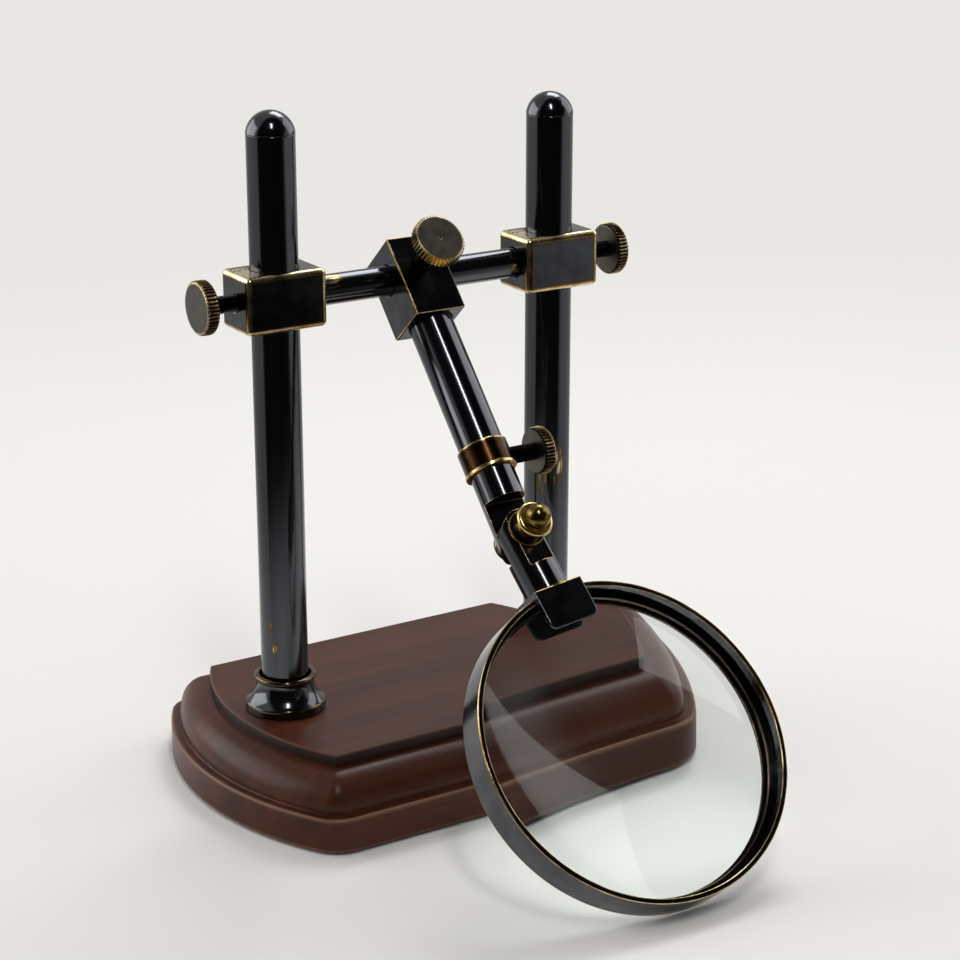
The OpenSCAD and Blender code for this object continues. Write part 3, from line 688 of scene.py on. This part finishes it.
def knurled_brass(piece, head_radius, reach, patch=None):
    """Black in the grooves and on the thread, brown on the face, copper-gold ridges. The
    patch is the middle of a place on the rim that fingers have worn bright."""
    metal, add = new_material("knurled brass, " + piece)
    place = add("TexCoord", {}, {}).outputs["Object"]
    flat = add("VectorMath", TIMES, {0: place, 1: (1, 1, 0)})
    radius = add("VectorMath", {"operation": "LENGTH"}, {0: flat}).outputs["Value"]

    def outside(band):
        """Rises from 0 to 1 across that band of the head."""
        start, full = ((head_radius - inset) * MM for inset in band)
        return add("MapRange", {}, {"Value": radius, "From Min": start, "From Max": full})

    # stains 4 mm across
    stains = add("TexNoise", {}, {"Vector": place, "Scale": 1 / 0.004, "Detail": 4.0})
    ridge = outside(RIDGE_BAND)
    uneven = add("MapRange", {}, {"Value": stains, "From Min": 0.3, "From Max": 0.6})
    ridge = add("Math", TIMES, {0: ridge, 1: uneven})
    height = add("SeparateXYZ", {}, {"Vector": place}).outputs["Z"]
    on_head = add("Math", {"operation": "GREATER_THAN"}, {0: height, 1: (reach - 0.05) * MM})
    in_groove = outside(GROOVE_BAND)
    face = add("MixRGB", {}, {"Fac": stains, "Color1": FACE_DARK, "Color2": FACE_LIGHT})
    colour = add("MixRGB", {}, {"Fac": on_head, "Color1": THREAD_BLACK, "Color2": face})
    colour = add("MixRGB", {}, {"Fac": in_groove, "Color1": colour, "Color2": GROOVE_BLACK})
    colour = add("MixRGB", {}, {"Fac": ridge, "Color1": colour, "Color2": RIDGE_BRASS})
    below_face = (reach + HEAD_THICKNESS - 0.3) * MM
    face_edge = add("MapRange", {}, {
        "Value": height, "From Min": below_face - 0.4 * MM, "From Max": below_face,
    })
    outer = outside(RIM_BAND)
    rim = add("Math", TIMES, {0: face_edge, 1: outer})
    rim = add("Math", TIMES, {0: rim, 1: uneven})
    colour = add("MixRGB", {}, {"Fac": rim, "Color1": colour, "Color2": RIM_BRASS})
    if patch:
        off = add("VectorMath", {"operation": "DISTANCE"}, {
            0: place, 1: (patch[0] * MM, patch[1] * MM, below_face),
        })
        near = add("MapRange", {}, {
            "Value": off.outputs["Value"], "From Min": 6 * MM, "From Max": 2 * MM,
        })
        near = add("Math", TIMES, {0: near, 1: outer})
        colour = add("MixRGB", {}, {"Fac": near, "Color1": colour, "Color2": FINGERED_BRASS})
    # rings left by facing the head in the lathe, 0.35 mm apart
    rings = add("TexWave", {"wave_type": "RINGS", "rings_direction": "Z"}, {
        "Vector": place, "Scale": 1 / 0.00035 / tau, "Distortion": 1.5, "Detail Scale": 2.0,
    })
    turned = add("Bump", {}, {"Height": rings, "Strength": 0.12, "Distance": 0.00004})
    shine = add("MapRange", {}, {"Value": stains, "To Min": 0.26, "To Max": 0.42})
    surface = add("BsdfPrincipled", {}, {
        "Base Color": colour, "Metallic": 1.0, "Roughness": shine, "Normal": turned,
    })
    add("OutputMaterial", {}, {"Surface": surface})
    return metal


clamp_brass = knurled_brass("clamp screws", CLAMP_HEAD, CLAMP_REACH)
for side, sign in (("left", -1), ("right", 1)):
    screw = thumb_screw(side + "_thumb_screw", CLAMP_REACH, CLAMP_HEAD, CLAMP_RIDGES)
    facing_out = Matrix.Rotation(sign * pi / 2, 4, "Y")
    dress(screw, clamp_brass, side + "_clamp_screw", side + "_screw",
          Matrix.Translation((sign * CLAMP_TIP * MM, 0, BAR_HEIGHT * MM)) @ facing_out)


# Crossbar
# A solid drawn rod that joins the two end blocks and carries the arm's block.

BAR_PROFILE = [(4.9, -43.8), (5.1, -43.6), (5.1, 0), (5.1, 43.6), (4.9, 43.8)]
# a worn patch near the left block, and near the right block a spot that is a painted reflection
BAR_WEAR_AND_REFLECTION = [((-3.6, -3.6, -36), (4.5, 4.5, 9), 1.4), ((0, -5, 37), (5, 5, 4), 0.6)]

bar = lathe("crossbar_rod", BAR_PROFILE, 128)
bar_black = blackened_brass("crossbar", gold=0.5, drawn=DRAWN, spots=BAR_WEAR_AND_REFLECTION)
dress(bar, bar_black, "cross_bar", "crossbar",
      Matrix.Translation((0, 0, BAR_HEIGHT * MM)) @ Matrix.Rotation(pi / 2, 4, "Y"))


# Arm block and arm tube
# A block of square bar slides and turns on the crossbar, with the arm's tube soldered
# into its lower end. Its edges are crisper than the end blocks', with a fine worn line.

ARM_ALONG_BAR = -1.7
ARM_SWING = -42.2
ARM = (Matrix.Translation((ARM_ALONG_BAR * MM, 0, BAR_HEIGHT * MM))
       @ Matrix.Rotation(radians(ARM_SWING), 4, "X"))
ACROSS = Matrix.Rotation(pi / 2, 4, "Y")
FRONT = Matrix.Rotation(pi / 2, 4, "X")
ARM_RADIUS = 7.6
ARM_BORE = 6.3
ARM_TOP = -7.5
ARM_END = -74.7
COLLAR_SCREW_HEIGHT = -69.9
ARM_BLOCK_SIZE = (18.9, 18.9, 28.9)
ARM_BLOCK_MIDDLE = -3.75
ARM_BLOCK_FOOT = -18.2
ARM_BLOCK_EASING = 0.6


def drill_for_collar_screw(piece):
    """The collar's screw goes through one side of the collar and of the tube."""
    hole = cylinder("collar_hole", SCREW_HOLE, 0, 12)
    hole.matrix_world = Matrix.Translation((0, 0, COLLAR_SCREW_HEIGHT * MM)) @ ACROSS
    carve(piece, hole)


half_width = ARM_BLOCK_SIZE[0] / 2
arm_block = eased_box("arm_block", ARM_BLOCK_SIZE, ARM_BLOCK_EASING)
arm_block.data.transform(Matrix.Translation((0, 0, ARM_BLOCK_MIDDLE * MM)))
bore(arm_block, BAR_SOCKET, -half_width, half_width, ACROSS)
bore(arm_block, ARM_RADIUS + 0.02, ARM_BLOCK_FOOT, ARM_TOP)
bore(arm_block, SCREW_HOLE, 0, half_width, FRONT)
arm_block_wear = rubbed_box(ARM_BLOCK_SIZE, (0, 0, ARM_BLOCK_MIDDLE), 0.6)
dress(arm_block, blackened_brass("arm block", gold=1.5, edges=arm_block_wear),
      "centre_block", "arm_head", ARM)

arm_tube = tube("arm_pipe", ARM_RADIUS, ARM_BORE, ARM_END, ARM_TOP)
drill_for_collar_screw(arm_tube)
dress(arm_tube, blackened_brass("arm tube", gold=0.5, drawn=DRAWN), "arm_tube", "arm_head", ARM)


# Arm block's clamp screw
# The same thumb-screw as on the end blocks, with the lathe's centre mark left in its
# face and a patch at the rim that fingers have worn to bare brass.

ARM_SCREW_REACH = 15.78
ARM_SCREW_TIP = 5.12
ARM_SCREW_PATCH = (-3.4, -8.0)

centre_screw = thumb_screw(
    "arm_thumb_screw", ARM_SCREW_REACH, CLAMP_HEAD, CLAMP_RIDGES, punched=True)
centre_brass = knurled_brass("arm screw", CLAMP_HEAD, ARM_SCREW_REACH, ARM_SCREW_PATCH)
dress(centre_screw, centre_brass, "centre_clamp_screw", "centre_screw",
      ARM @ FRONT @ Matrix.Translation((0, 0, ARM_SCREW_TIP * MM)))


# Collar and its screw
# A collar of redder brass is sweated onto the tube's end to give the clamp screw
# enough thread. Its lower edge is turned to a small bright lip.

RED_DARK = linear("#1c130d")
RED_LIGHT = linear("#422c1a")
RED_BARE = linear("#d8b478")
COLLAR_PROFILE = [
    (7.62, -74.7), (8.75, -74.7), (8.9, -74.5), (8.9, -73.7), (8.75, -73.5), (8.5, -73.4),
    (8.5, -65.3), (8.35, -65.1), (7.62, -65.1),
]
COLLAR_SCREW_REACH = 12.03
COLLAR_SCREW_TIP = 6.27
COLLAR_SCREW_HEAD = 8.0
COLLAR_SCREW_RIDGES = 40


def red_brass():
    metal, add = new_material("red brass, polished")
    place = add("TexCoord", {}, {}).outputs["Object"]
    # stains 3 mm across
    stains = add("TexNoise", {}, {"Vector": place, "Scale": 1 / 0.003, "Detail": 4.0})
    tone = add("MixRGB", {}, {"Fac": stains, "Color1": RED_DARK, "Color2": RED_LIGHT})
    edges = rubbed_rows(add, place)
    colour = add("MixRGB", {}, {"Fac": edges, "Color1": tone, "Color2": RED_BARE})
    shine = add("MapRange", {}, {"Value": stains, "To Min": 0.14, "To Max": 0.3})
    surface = add("BsdfPrincipled", {}, {"Base Color": colour, "Metallic": 1.0, "Roughness": shine})
    add("OutputMaterial", {}, {"Surface": surface})
    return metal


collar = lathe("collar_band", COLLAR_PROFILE, 128, looped=True)
drill_for_collar_screw(collar)
dress(collar, red_brass(), "arm_collar", "arm_head", ARM)

collar_screw = thumb_screw(
    "collar_thumb_screw", COLLAR_SCREW_REACH, COLLAR_SCREW_HEAD, COLLAR_SCREW_RIDGES)
collar_brass = knurled_brass("collar screw", COLLAR_SCREW_HEAD, COLLAR_SCREW_REACH)
screw_tip = Matrix.Translation((COLLAR_SCREW_TIP * MM, 0, COLLAR_SCREW_HEIGHT * MM))
dress(collar_screw, collar_brass, "collar_clamp_screw", "collar_screw", ARM @ screw_tip @ ACROSS)


# Rod inside the tube
# Ground steel bar that slides in the arm tube and ends in the knuckle's socket.

refinish("arm_rod", turned_metal("ground steel rod", "#b4b4b0", "#93928d", 0.2))


# Knuckle
# Turned brass bar, milled away at the front to half its thickness so that the lens
# stem laps over it, and rounded about the pivot. The bolt's head seats in its back.

PIVOT = ARM @ Matrix.Translation((0, 0, -98.2 * MM))
KNUCKLE_RADIUS = 7.45
KNUCKLE_LENGTH = 23.2
KNUCKLE_LAP_TOP = 12.9
HEAD_SEAT = 6.05
HEAD_SEAT_TOP = 6.2
# radius, floor, and a top that is past the knuckle's end
ROD_SOCKET = (4.55, 15.2, 30)
# each lap is milled this far past the middle, so that the two don't touch
LAP_GAP = 0.05
LAP_WEAR = 0.55
# cutting tools reach this far out, past any piece here
OUTSIDE = 20
# the end's rounding is a hair wider than the bar, so that the two never coincide
ROUNDING = KNUCKLE_RADIUS + 0.01
ROUNDING_STEPS = 47
ROUND_END_DEPTH = 10


def prism(name, outline, front, back):
    """A shape in X and Z, its points counter-clockwise from the front, that runs from
    front to back along Y."""
    return skin(name, [[(x, back, z) for x, z in outline], [(x, front, z) for x, z in outline]])


def round_ended_bar(name, length, direction):
    """A bar from the pivot up or down to that length, rounded about the pivot's axis."""
    side = KNUCKLE_RADIUS + 1
    outline = arc(0, 0, ROUNDING, 180, 360, ROUNDING_STEPS)
    past_end = length * 1.2
    outline += [(side, 0), (side, past_end), (-side, past_end), (-side, 0)]
    if direction < 0:
        outline = [(-x, -z) for x, z in outline]
    ends = (-direction * side, direction * length)
    bar = cylinder(name, KNUCKLE_RADIUS, min(ends), max(ends), 128)
    carve(bar, prism("round_end", outline, -ROUND_END_DEPTH, ROUND_END_DEPTH), "INTERSECT")
    return bar


def block_between(name, front, back, bottom, top):
    """A block, wider than the bar, to mill with."""
    outline = [(-OUTSIDE, bottom), (OUTSIDE, bottom), (OUTSIDE, top), (-OUTSIDE, top)]
    return prism(name, outline, front, back)


def drill_for_pivot(piece, radius):
    hole = cylinder("pivot_hole", radius, -OUTSIDE, OUTSIDE)
    hole.matrix_world = FRONT
    carve(piece, hole)


def lap_black(piece):
    return blackened_brass(piece, gold=0.8, edges=rubbed_corners(LAP_WEAR), drawn=12)


knuckle = round_ended_bar("knuckle_bar", KNUCKLE_LENGTH, 1)
carve(knuckle, block_between("lap", -OUTSIDE, LAP_GAP, -OUTSIDE, KNUCKLE_LAP_TOP))
carve(knuckle, block_between("head_seat", HEAD_SEAT, OUTSIDE, -OUTSIDE, HEAD_SEAT_TOP))
drill_for_pivot(knuckle, 2.52)
carve(knuckle, cylinder("rod_socket", *ROD_SOCKET))
dress(knuckle, lap_black("knuckle"), "upper_knuckle", "knuckle", PIVOT)


# Pivot bolt and washer
# A brass bolt with a rounded head runs through both laps from the back. The blackened
# washer spreads the pull of the knob over the stem's flat.

BOLT_PROFILE = (
    [(2.3, -15.5), (2.5, -15.3), (2.5, 6.05), (5.2, 6.05), (5.4, 6.25), (5.4, 7.2)]
    + arc(3.6, 7.2, 1.8, 0, 70, 10)
    + [(3.0, 9.1), (0.1, 9.25)]
)
WASHER_PROFILE = [
    (2.55, 5.85), (6.1, 5.85), (6.3, 6.05), (6.3, 6.8), (6.05, 7.05), (2.55, 7.05),
]

bolt = lathe("pivot_bolt_turned", BOLT_PROFILE, 96)
dress(bolt, blackened_brass("pivot bolt", gold=0.8),
      "pivot_bolt", "knuckle", PIVOT @ Matrix.Rotation(-pi / 2, 4, "X"))

washer = lathe("pivot_washer_turned", WASHER_PROFILE, 96, looped=True)
dress(washer, blackened_brass("washer", gold=0.6), "pivot_washer", "lens_head", PIVOT @ FRONT)


# Cup and ball
# The pivot's knob: a turned ball that seats in a flared cup, both of yellow brass left
# bright and gone a little olive with age. The ball's tones are darker, as a painted
# reflection of the dark it shows.

YELLOW_BARE = linear("#e6c886")
CUP_SEAT = 7.05
CUP_PROFILE = (
    [(3.22, 0), (4.4, 0), (4.6, 0.2), (4.6, 1.0), (4.7, 2.6), (5.0, 4.2), (5.5, 5.4)]
    + arc(5.1, 5.95, 1.1, -25, 115, 16)
    + [(3.98, 6.9), (3.7, 6.35), (3.22, 5.7)]
)
BALL_RADIUS = 4.2
BALL_PROFILE = (
    [(2.55, CUP_SEAT), (3.2, CUP_SEAT), (3.2, 12.7)]
    + arc(0, 15.5, BALL_RADIUS, -41, 89, 40)[1:]
    + [(0.02, 19.7), (0.02, 15.6), (2.55, 15.55)]
)


def aged_brass(piece, light, deep):
    metal, add = new_material("aged yellow brass, " + piece)
    place = add("TexCoord", {}, {}).outputs["Object"]
    # tarnish spots, 1.6 mm across
    spots = add("TexNoise", {}, {"Vector": place, "Scale": 1 / 0.0016, "Detail": 4.0})
    tarnish = add("MapRange", {}, {"Value": spots, "From Min": 0.35, "From Max": 0.68})
    colour = add("MixRGB", {}, {"Fac": tarnish, "Color1": linear(light), "Color2": linear(deep)})
    edges = rubbed_rows(add, place)
    colour = add("MixRGB", {}, {"Fac": edges, "Color1": colour, "Color2": YELLOW_BARE})
    shine = add("MapRange", {}, {"Value": spots, "To Min": 0.12, "To Max": 0.3})
    surface = add("BsdfPrincipled", {}, {"Base Color": colour, "Metallic": 1.0, "Roughness": shine})
    add("OutputMaterial", {}, {"Surface": surface})
    return metal


cup = lathe("cup_turned", CUP_PROFILE, 128, looped=True)
dress(cup, aged_brass("cup", "#c8a252", "#97742f"), "knob_cup", "tilt_knob",
      PIVOT @ FRONT @ Matrix.Translation((0, 0, CUP_SEAT * MM)))

# painted reflection: the ball takes darker tones of the same brass, for the dark reflection it
# shows
ball = lathe("ball_turned", BALL_PROFILE, 128, looped=True)
dress(ball, aged_brass("ball", "#877438", "#483e1b"), "ball_knob", "tilt_knob",
      PIVOT @ FRONT)


# Lens stem
# The other half of the lapped joint: turned bar, flattened under the knob, with its
# lower end riveted through the clip.

STEM = PIVOT @ Matrix.Rotation(radians(-6.4), 4, "Y")
CLIP_TOP = 20.8
STEM_LAP_FOOT = -8.2
FLAT_DEPTH = 5.85
FLAT_FOOT = -11.8
# radius, bottom and top, for the rivet turned on the stem's end and its hole in the clip
RIVET = (4.0, -21.9, -20)
RIVET_HOLE = (4.02, -24, -10)

stem = round_ended_bar("stem_bar", CLIP_TOP, -1)
carve(stem, block_between("lap", -LAP_GAP, OUTSIDE, STEM_LAP_FOOT, OUTSIDE))
carve(stem, block_between("flat", -OUTSIDE, -FLAT_DEPTH, FLAT_FOOT, OUTSIDE))
drill_for_pivot(stem, 2.55)
carve(stem, cylinder("rivet", *RIVET), "UNION")
dress(stem, lap_black("stem"), "lens_stem", "lens_head", STEM)


# Clip
# A strip of sheet brass bent into a U that straddles the lens ring, soldered to it,
# with its lower corners rounded off.

RING_RADIUS = 54.4
LENS_REACH = 76.4
# half the depth of the slot for the ring
RING_ROOM = 6.12
CLIP_HALF_WIDTH = 9.5
CLIP_HALF_DEPTH = 7.3
CLIP_FOOT = 34.6
CLIP_CORNER = 2.5
# a box that has the clip's top edges as its own, to wear them by
CLIP_BOX = (40, 14.6, 39.2)
CLIP_BOX_MIDDLE = (0, 0, -40.4)

corners = arc(CLIP_HALF_WIDTH - CLIP_CORNER, CLIP_CORNER - CLIP_FOOT, CLIP_CORNER, 0, -90, 10)
clip_outline = [(-x, z) for x, z in corners] + corners[::-1]
clip_outline += [(CLIP_HALF_WIDTH, -CLIP_TOP), (-CLIP_HALF_WIDTH, -CLIP_TOP)]
clip = prism("clip_bent", clip_outline, -CLIP_HALF_DEPTH, CLIP_HALF_DEPTH)
bends = clip.modifiers.new("bends", "BEVEL")
bends.width = 0.5 * MM
bends.segments = 4
bends.limit_method = "ANGLE"
bends.angle_limit = radians(40)
settle(clip)
ring_room = cylinder("ring_room", RING_RADIUS + 0.02, -RING_ROOM, RING_ROOM, 256)
ring_room.matrix_world = Matrix.Translation((0, 0, -LENS_REACH * MM)) @ FRONT
carve(clip, ring_room)
carve(clip, cylinder("rivet_hole", *RIVET_HOLE))
clip_wear = rubbed_box(CLIP_BOX, CLIP_BOX_MIDDLE, 0.9)
dress(clip, blackened_brass("clip", gold=0.9, edges=clip_wear), "lens_clip", "lens_head", STEM)


# Lens ring and retainer
# A turned brass ring with a shoulder at the back for the glass to rest on. A thinner
# ring sprung in at the front holds the glass. The front edge is worn to a gold line.

LENS = STEM @ Matrix.Translation((0, 0, -LENS_REACH * MM)) @ FRONT
RING_PROFILE = (
    [(50.0, -6.1)]
    + arc(54.0, -5.7, 0.4, -90, 0, 4)
    + arc(54.0, 5.7, 0.4, 0, 90, 4)
    + [(52.75, 6.1), (52.6, 5.95), (52.6, -4.7), (50.0, -4.7)]
)
RETAINER_PROFILE = [
    (50.8, -0.79), (52.58, -0.79), (52.58, 0.41), (51.0, 0.41), (50.85, 0.26), (50.8, 0.1),
]

ring = lathe("ring_turned", RING_PROFILE, 256, looped=True, reach=0.4)
dress(ring, blackened_brass("lens ring", gold=0.9), "lens_ring", "lens_head", LENS)

retainer = lathe("retainer_turned", RETAINER_PROFILE, 256, looped=True)
dress(retainer, blackened_brass("retainer", gold=0.25), "lens_retainer", "lens_head", LENS)


# Glass
# A biconvex lens of clear crown glass, ground and polished on both faces, with a
# ground edge 3 mm thick.

FACE_RADIUS = 364.0
GLASS_RADIUS = 52.55
GLASS_MIDDLE = -2.787
HALF_EDGE = 1.5
FACE_STEPS = 40


def face_drop(radius):
    """How far a face has fallen away at that distance from its middle."""
    return FACE_RADIUS - sqrt(FACE_RADIUS ** 2 - radius ** 2)


half_thickness = HALF_EDGE + face_drop(GLASS_RADIUS)
reaches = [GLASS_RADIUS * i / FACE_STEPS for i in range(1, FACE_STEPS + 1)]
front_face = [(r, half_thickness - face_drop(r)) for r in reversed(reaches)]
glass = lathe("glass_lens", [(r, -z) for r, z in reversed(front_face)] + front_face, 256)
glass.data.shade_smooth()
glass.data.set_sharp_from_angle(angle=radians(40))


def crown_glass():
    """Clear glass that lets lamp light straight through, so that it casts no black shade."""
    clear, add = new_material("crown glass, polished")
    body = add("BsdfPrincipled", {}, {
        "Base Color": linear("#f7fbf9"), "Roughness": 0.0, "IOR": 1.52,
        "Transmission Weight": 1.0,
    })
    lit_through = add("BsdfTransparent", {}, {"Color": linear("#eef4f1")})
    to_lamp = add("LightPath", {}, {}).outputs["Is Shadow Ray"]
    mixed = add("MixShader", {}, {0: to_lamp, 1: body, 2: lit_through})
    add("OutputMaterial", {}, {"Surface": mixed})
    return clear


glass.data.materials.append(crown_glass())
glass.matrix_world = LENS @ Matrix.Translation((0, 0, GLASS_MIDDLE * MM))
stand_for(glass, "lens", "lens_head")


# Studio
# A pale floor that fades into a pale room. A soft box stands at either side, a lamp
# hangs overhead at the back, and a strip lamp hangs in front. Places are in metres.

SWEEP_TONE = linear("#e9e7e4")
MIRRORED_TONE = linear("#bdbcba")
UNLIT_TONE = linear("#242426")
ROOM_LIGHT = linear("#f4f4f6")
FLOOR_DARK = linear("#e6e4e0")
FLOOR_LIGHT = linear("#ebe9e6")
# the level way to the photographer, and the way above
PHOTOGRAPHER = (-0.5133, -0.8582, 0)
ABOVE_PHOTOGRAPHER = (-0.1, -0.75, 0.65)
LAMP_AIM = (0, 0, 0.12)
CAMERA_PLACE = (-0.42292, -0.70753, 0.37110)
CAMERA_DOWN = 19.203
CAMERA_TURN = -32.364
SENSOR_WIDTH = 36
CAMERA_SHIFT = 0.05
FRAME_PIXELS = 960
FOCAL_PIXELS = 2511.15
FLOOR_RADIUS = 6


def backdrop_tone(add, direction):
    """The pale sweep all round, which is what the camera sees. Reflections show the room
    dimmer, and unlit where the photographer stands and above that."""
    level = add("VectorMath", TIMES, {0: direction, 1: (1, 1, 0)})
    level = add("VectorMath", {"operation": "NORMALIZE"}, {0: level})
    towards = add("VectorMath", {"operation": "DOT_PRODUCT"}, {0: level, 1: PHOTOGRAPHER})
    in_front = add("MapRange", GENTLY, {
        "Value": towards.outputs["Value"], "From Min": 0.42, "From Max": 0.56,
    })
    outward = add("VectorMath", {"operation": "NORMALIZE"}, {0: direction})
    towards = add("VectorMath", {"operation": "DOT_PRODUCT"}, {0: outward, 1: ABOVE_PHOTOGRAPHER})
    above = add("MapRange", GENTLY, {
        "Value": towards.outputs["Value"], "From Min": 0.48, "From Max": 0.66,
    })
    unlit = add("Math", {"operation": "MAXIMUM"}, {0: in_front, 1: above})
    tone = add("MixRGB", {}, {"Fac": unlit, "Color1": MIRRORED_TONE, "Color2": UNLIT_TONE})
    mirrored = add("LightPath", {}, {}).outputs["Is Glossy Ray"]
    return add("MixRGB", {}, {"Fac": mirrored, "Color1": SWEEP_TONE, "Color2": tone})


def seen_rays(add):
    """Is 1 for what the camera sees, by itself or through metal and glass."""
    ray = add("LightPath", {}, {}).outputs
    seen = add("Math", {"operation": "MAXIMUM"}, {0: ray["Is Camera Ray"], 1: ray["Is Glossy Ray"]})
    return add("Math", {"operation": "MAXIMUM"}, {0: seen, 1: ray["Is Transmission Ray"]})


def floor_paint():
    paint, add = new_material("pale matt floor")
    place = add("TexCoord", {}, {}).outputs["Object"]
    mottle = add("TexNoise", {}, {"Vector": place, "Scale": 3.0})
    tone = add("MixRGB", {}, {"Fac": mottle, "Color1": FLOOR_DARK, "Color2": FLOOR_LIGHT})
    surface = add("BsdfPrincipled", {}, {"Base Color": tone, "Roughness": 0.7})
    # past the object the floor fades into the sweep's own tone
    distance = add("VectorMath", {"operation": "LENGTH"}, {0: place}).outputs["Value"]
    far = add("MapRange", GENTLY, {"Value": distance, "From Min": 0.2, "From Max": 1.0})
    faded = add("Math", TIMES, {0: far, 1: seen_rays(add)})
    # polished metal shows the sweep from nearer
    nearer = add("MapRange", GENTLY, {"Value": distance, "From Min": 0.16, "From Max": 0.4})
    mirrored = add("LightPath", {}, {}).outputs["Is Glossy Ray"]
    nearer = add("Math", TIMES, {0: nearer, 1: mirrored})
    faded = add("Math", {"operation": "MAXIMUM"}, {0: faded, 1: nearer})
    sweep = add("Emission", {}, {"Color": backdrop_tone(add, place), "Strength": 1.0})
    mixed = add("MixShader", {}, {0: faded, 1: surface, 2: sweep})
    add("OutputMaterial", {}, {"Surface": mixed})
    return paint


floor_edge = arc(0, 0, FLOOR_RADIUS, 0, 354, 59)
floor_mesh = bpy.data.meshes.new("floor")
floor_mesh.from_pydata([(x, y, 0) for x, y in floor_edge], [], [range(len(floor_edge))])
floor = bpy.data.objects.new("floor", floor_mesh)
bpy.context.scene.collection.objects.link(floor)
floor.data.materials.append(floor_paint())

world = bpy.data.worlds.new("pale room")
bpy.context.scene.world = world
world.use_nodes = True
world.node_tree.nodes.clear()
add = partial(add_node, world.node_tree)
outward = add("TexCoord", {}, {}).outputs["Generated"]
room_light = add("Background", {}, {"Color": ROOM_LIGHT, "Strength": 0.4})
backdrop = add("Background", {}, {"Color": backdrop_tone(add, outward), "Strength": 1.0})
room = add("MixShader", {}, {0: seen_rays(add), 1: room_light, 2: backdrop})
add("OutputWorld", {}, {"Surface": room})


def soft_box(name, place, width, height, power):
    """A rectangular lamp that faces the middle of the object."""
    lamp = bpy.data.lights.new(name, "AREA")
    lamp.shape = "RECTANGLE"
    lamp.size = width
    lamp.size_y = height
    lamp.energy = power
    holder = bpy.data.objects.new(name, lamp)
    bpy.context.scene.collection.objects.link(holder)
    holder.location = place
    holder.rotation_mode = "QUATERNION"
    holder.rotation_quaternion = (Vector(LAMP_AIM) - Vector(place)).to_track_quat("-Z", "Y")


soft_box("left soft box", (-1.06, 0.96, 0.6), 1.6, 1.0, 13)
soft_box("right soft box", (1.4, -0.1, 0.8), 1.2, 1.2, 7)
soft_box("overhead lamp", (0.58, 0.5, 1.12), 0.6, 0.5, 6.5)
soft_box("strip lamp", (-0.28, -0.7, 1.15), 0.12, 0.45, 3.6)

lens_data = bpy.data.cameras.new("camera")
lens_data.sensor_width = SENSOR_WIDTH
lens_data.lens = FOCAL_PIXELS * SENSOR_WIDTH / FRAME_PIXELS
lens_data.shift_y = CAMERA_SHIFT
lens_data.clip_end = 50
camera = bpy.data.objects.new("camera", lens_data)
bpy.context.scene.collection.objects.link(camera)
camera.location = CAMERA_PLACE
camera.rotation_euler = (radians(90 - CAMERA_DOWN), 0, radians(CAMERA_TURN))
bpy.context.scene.camera = camera
bpy.context.scene.view_settings.view_transform = "Standard"
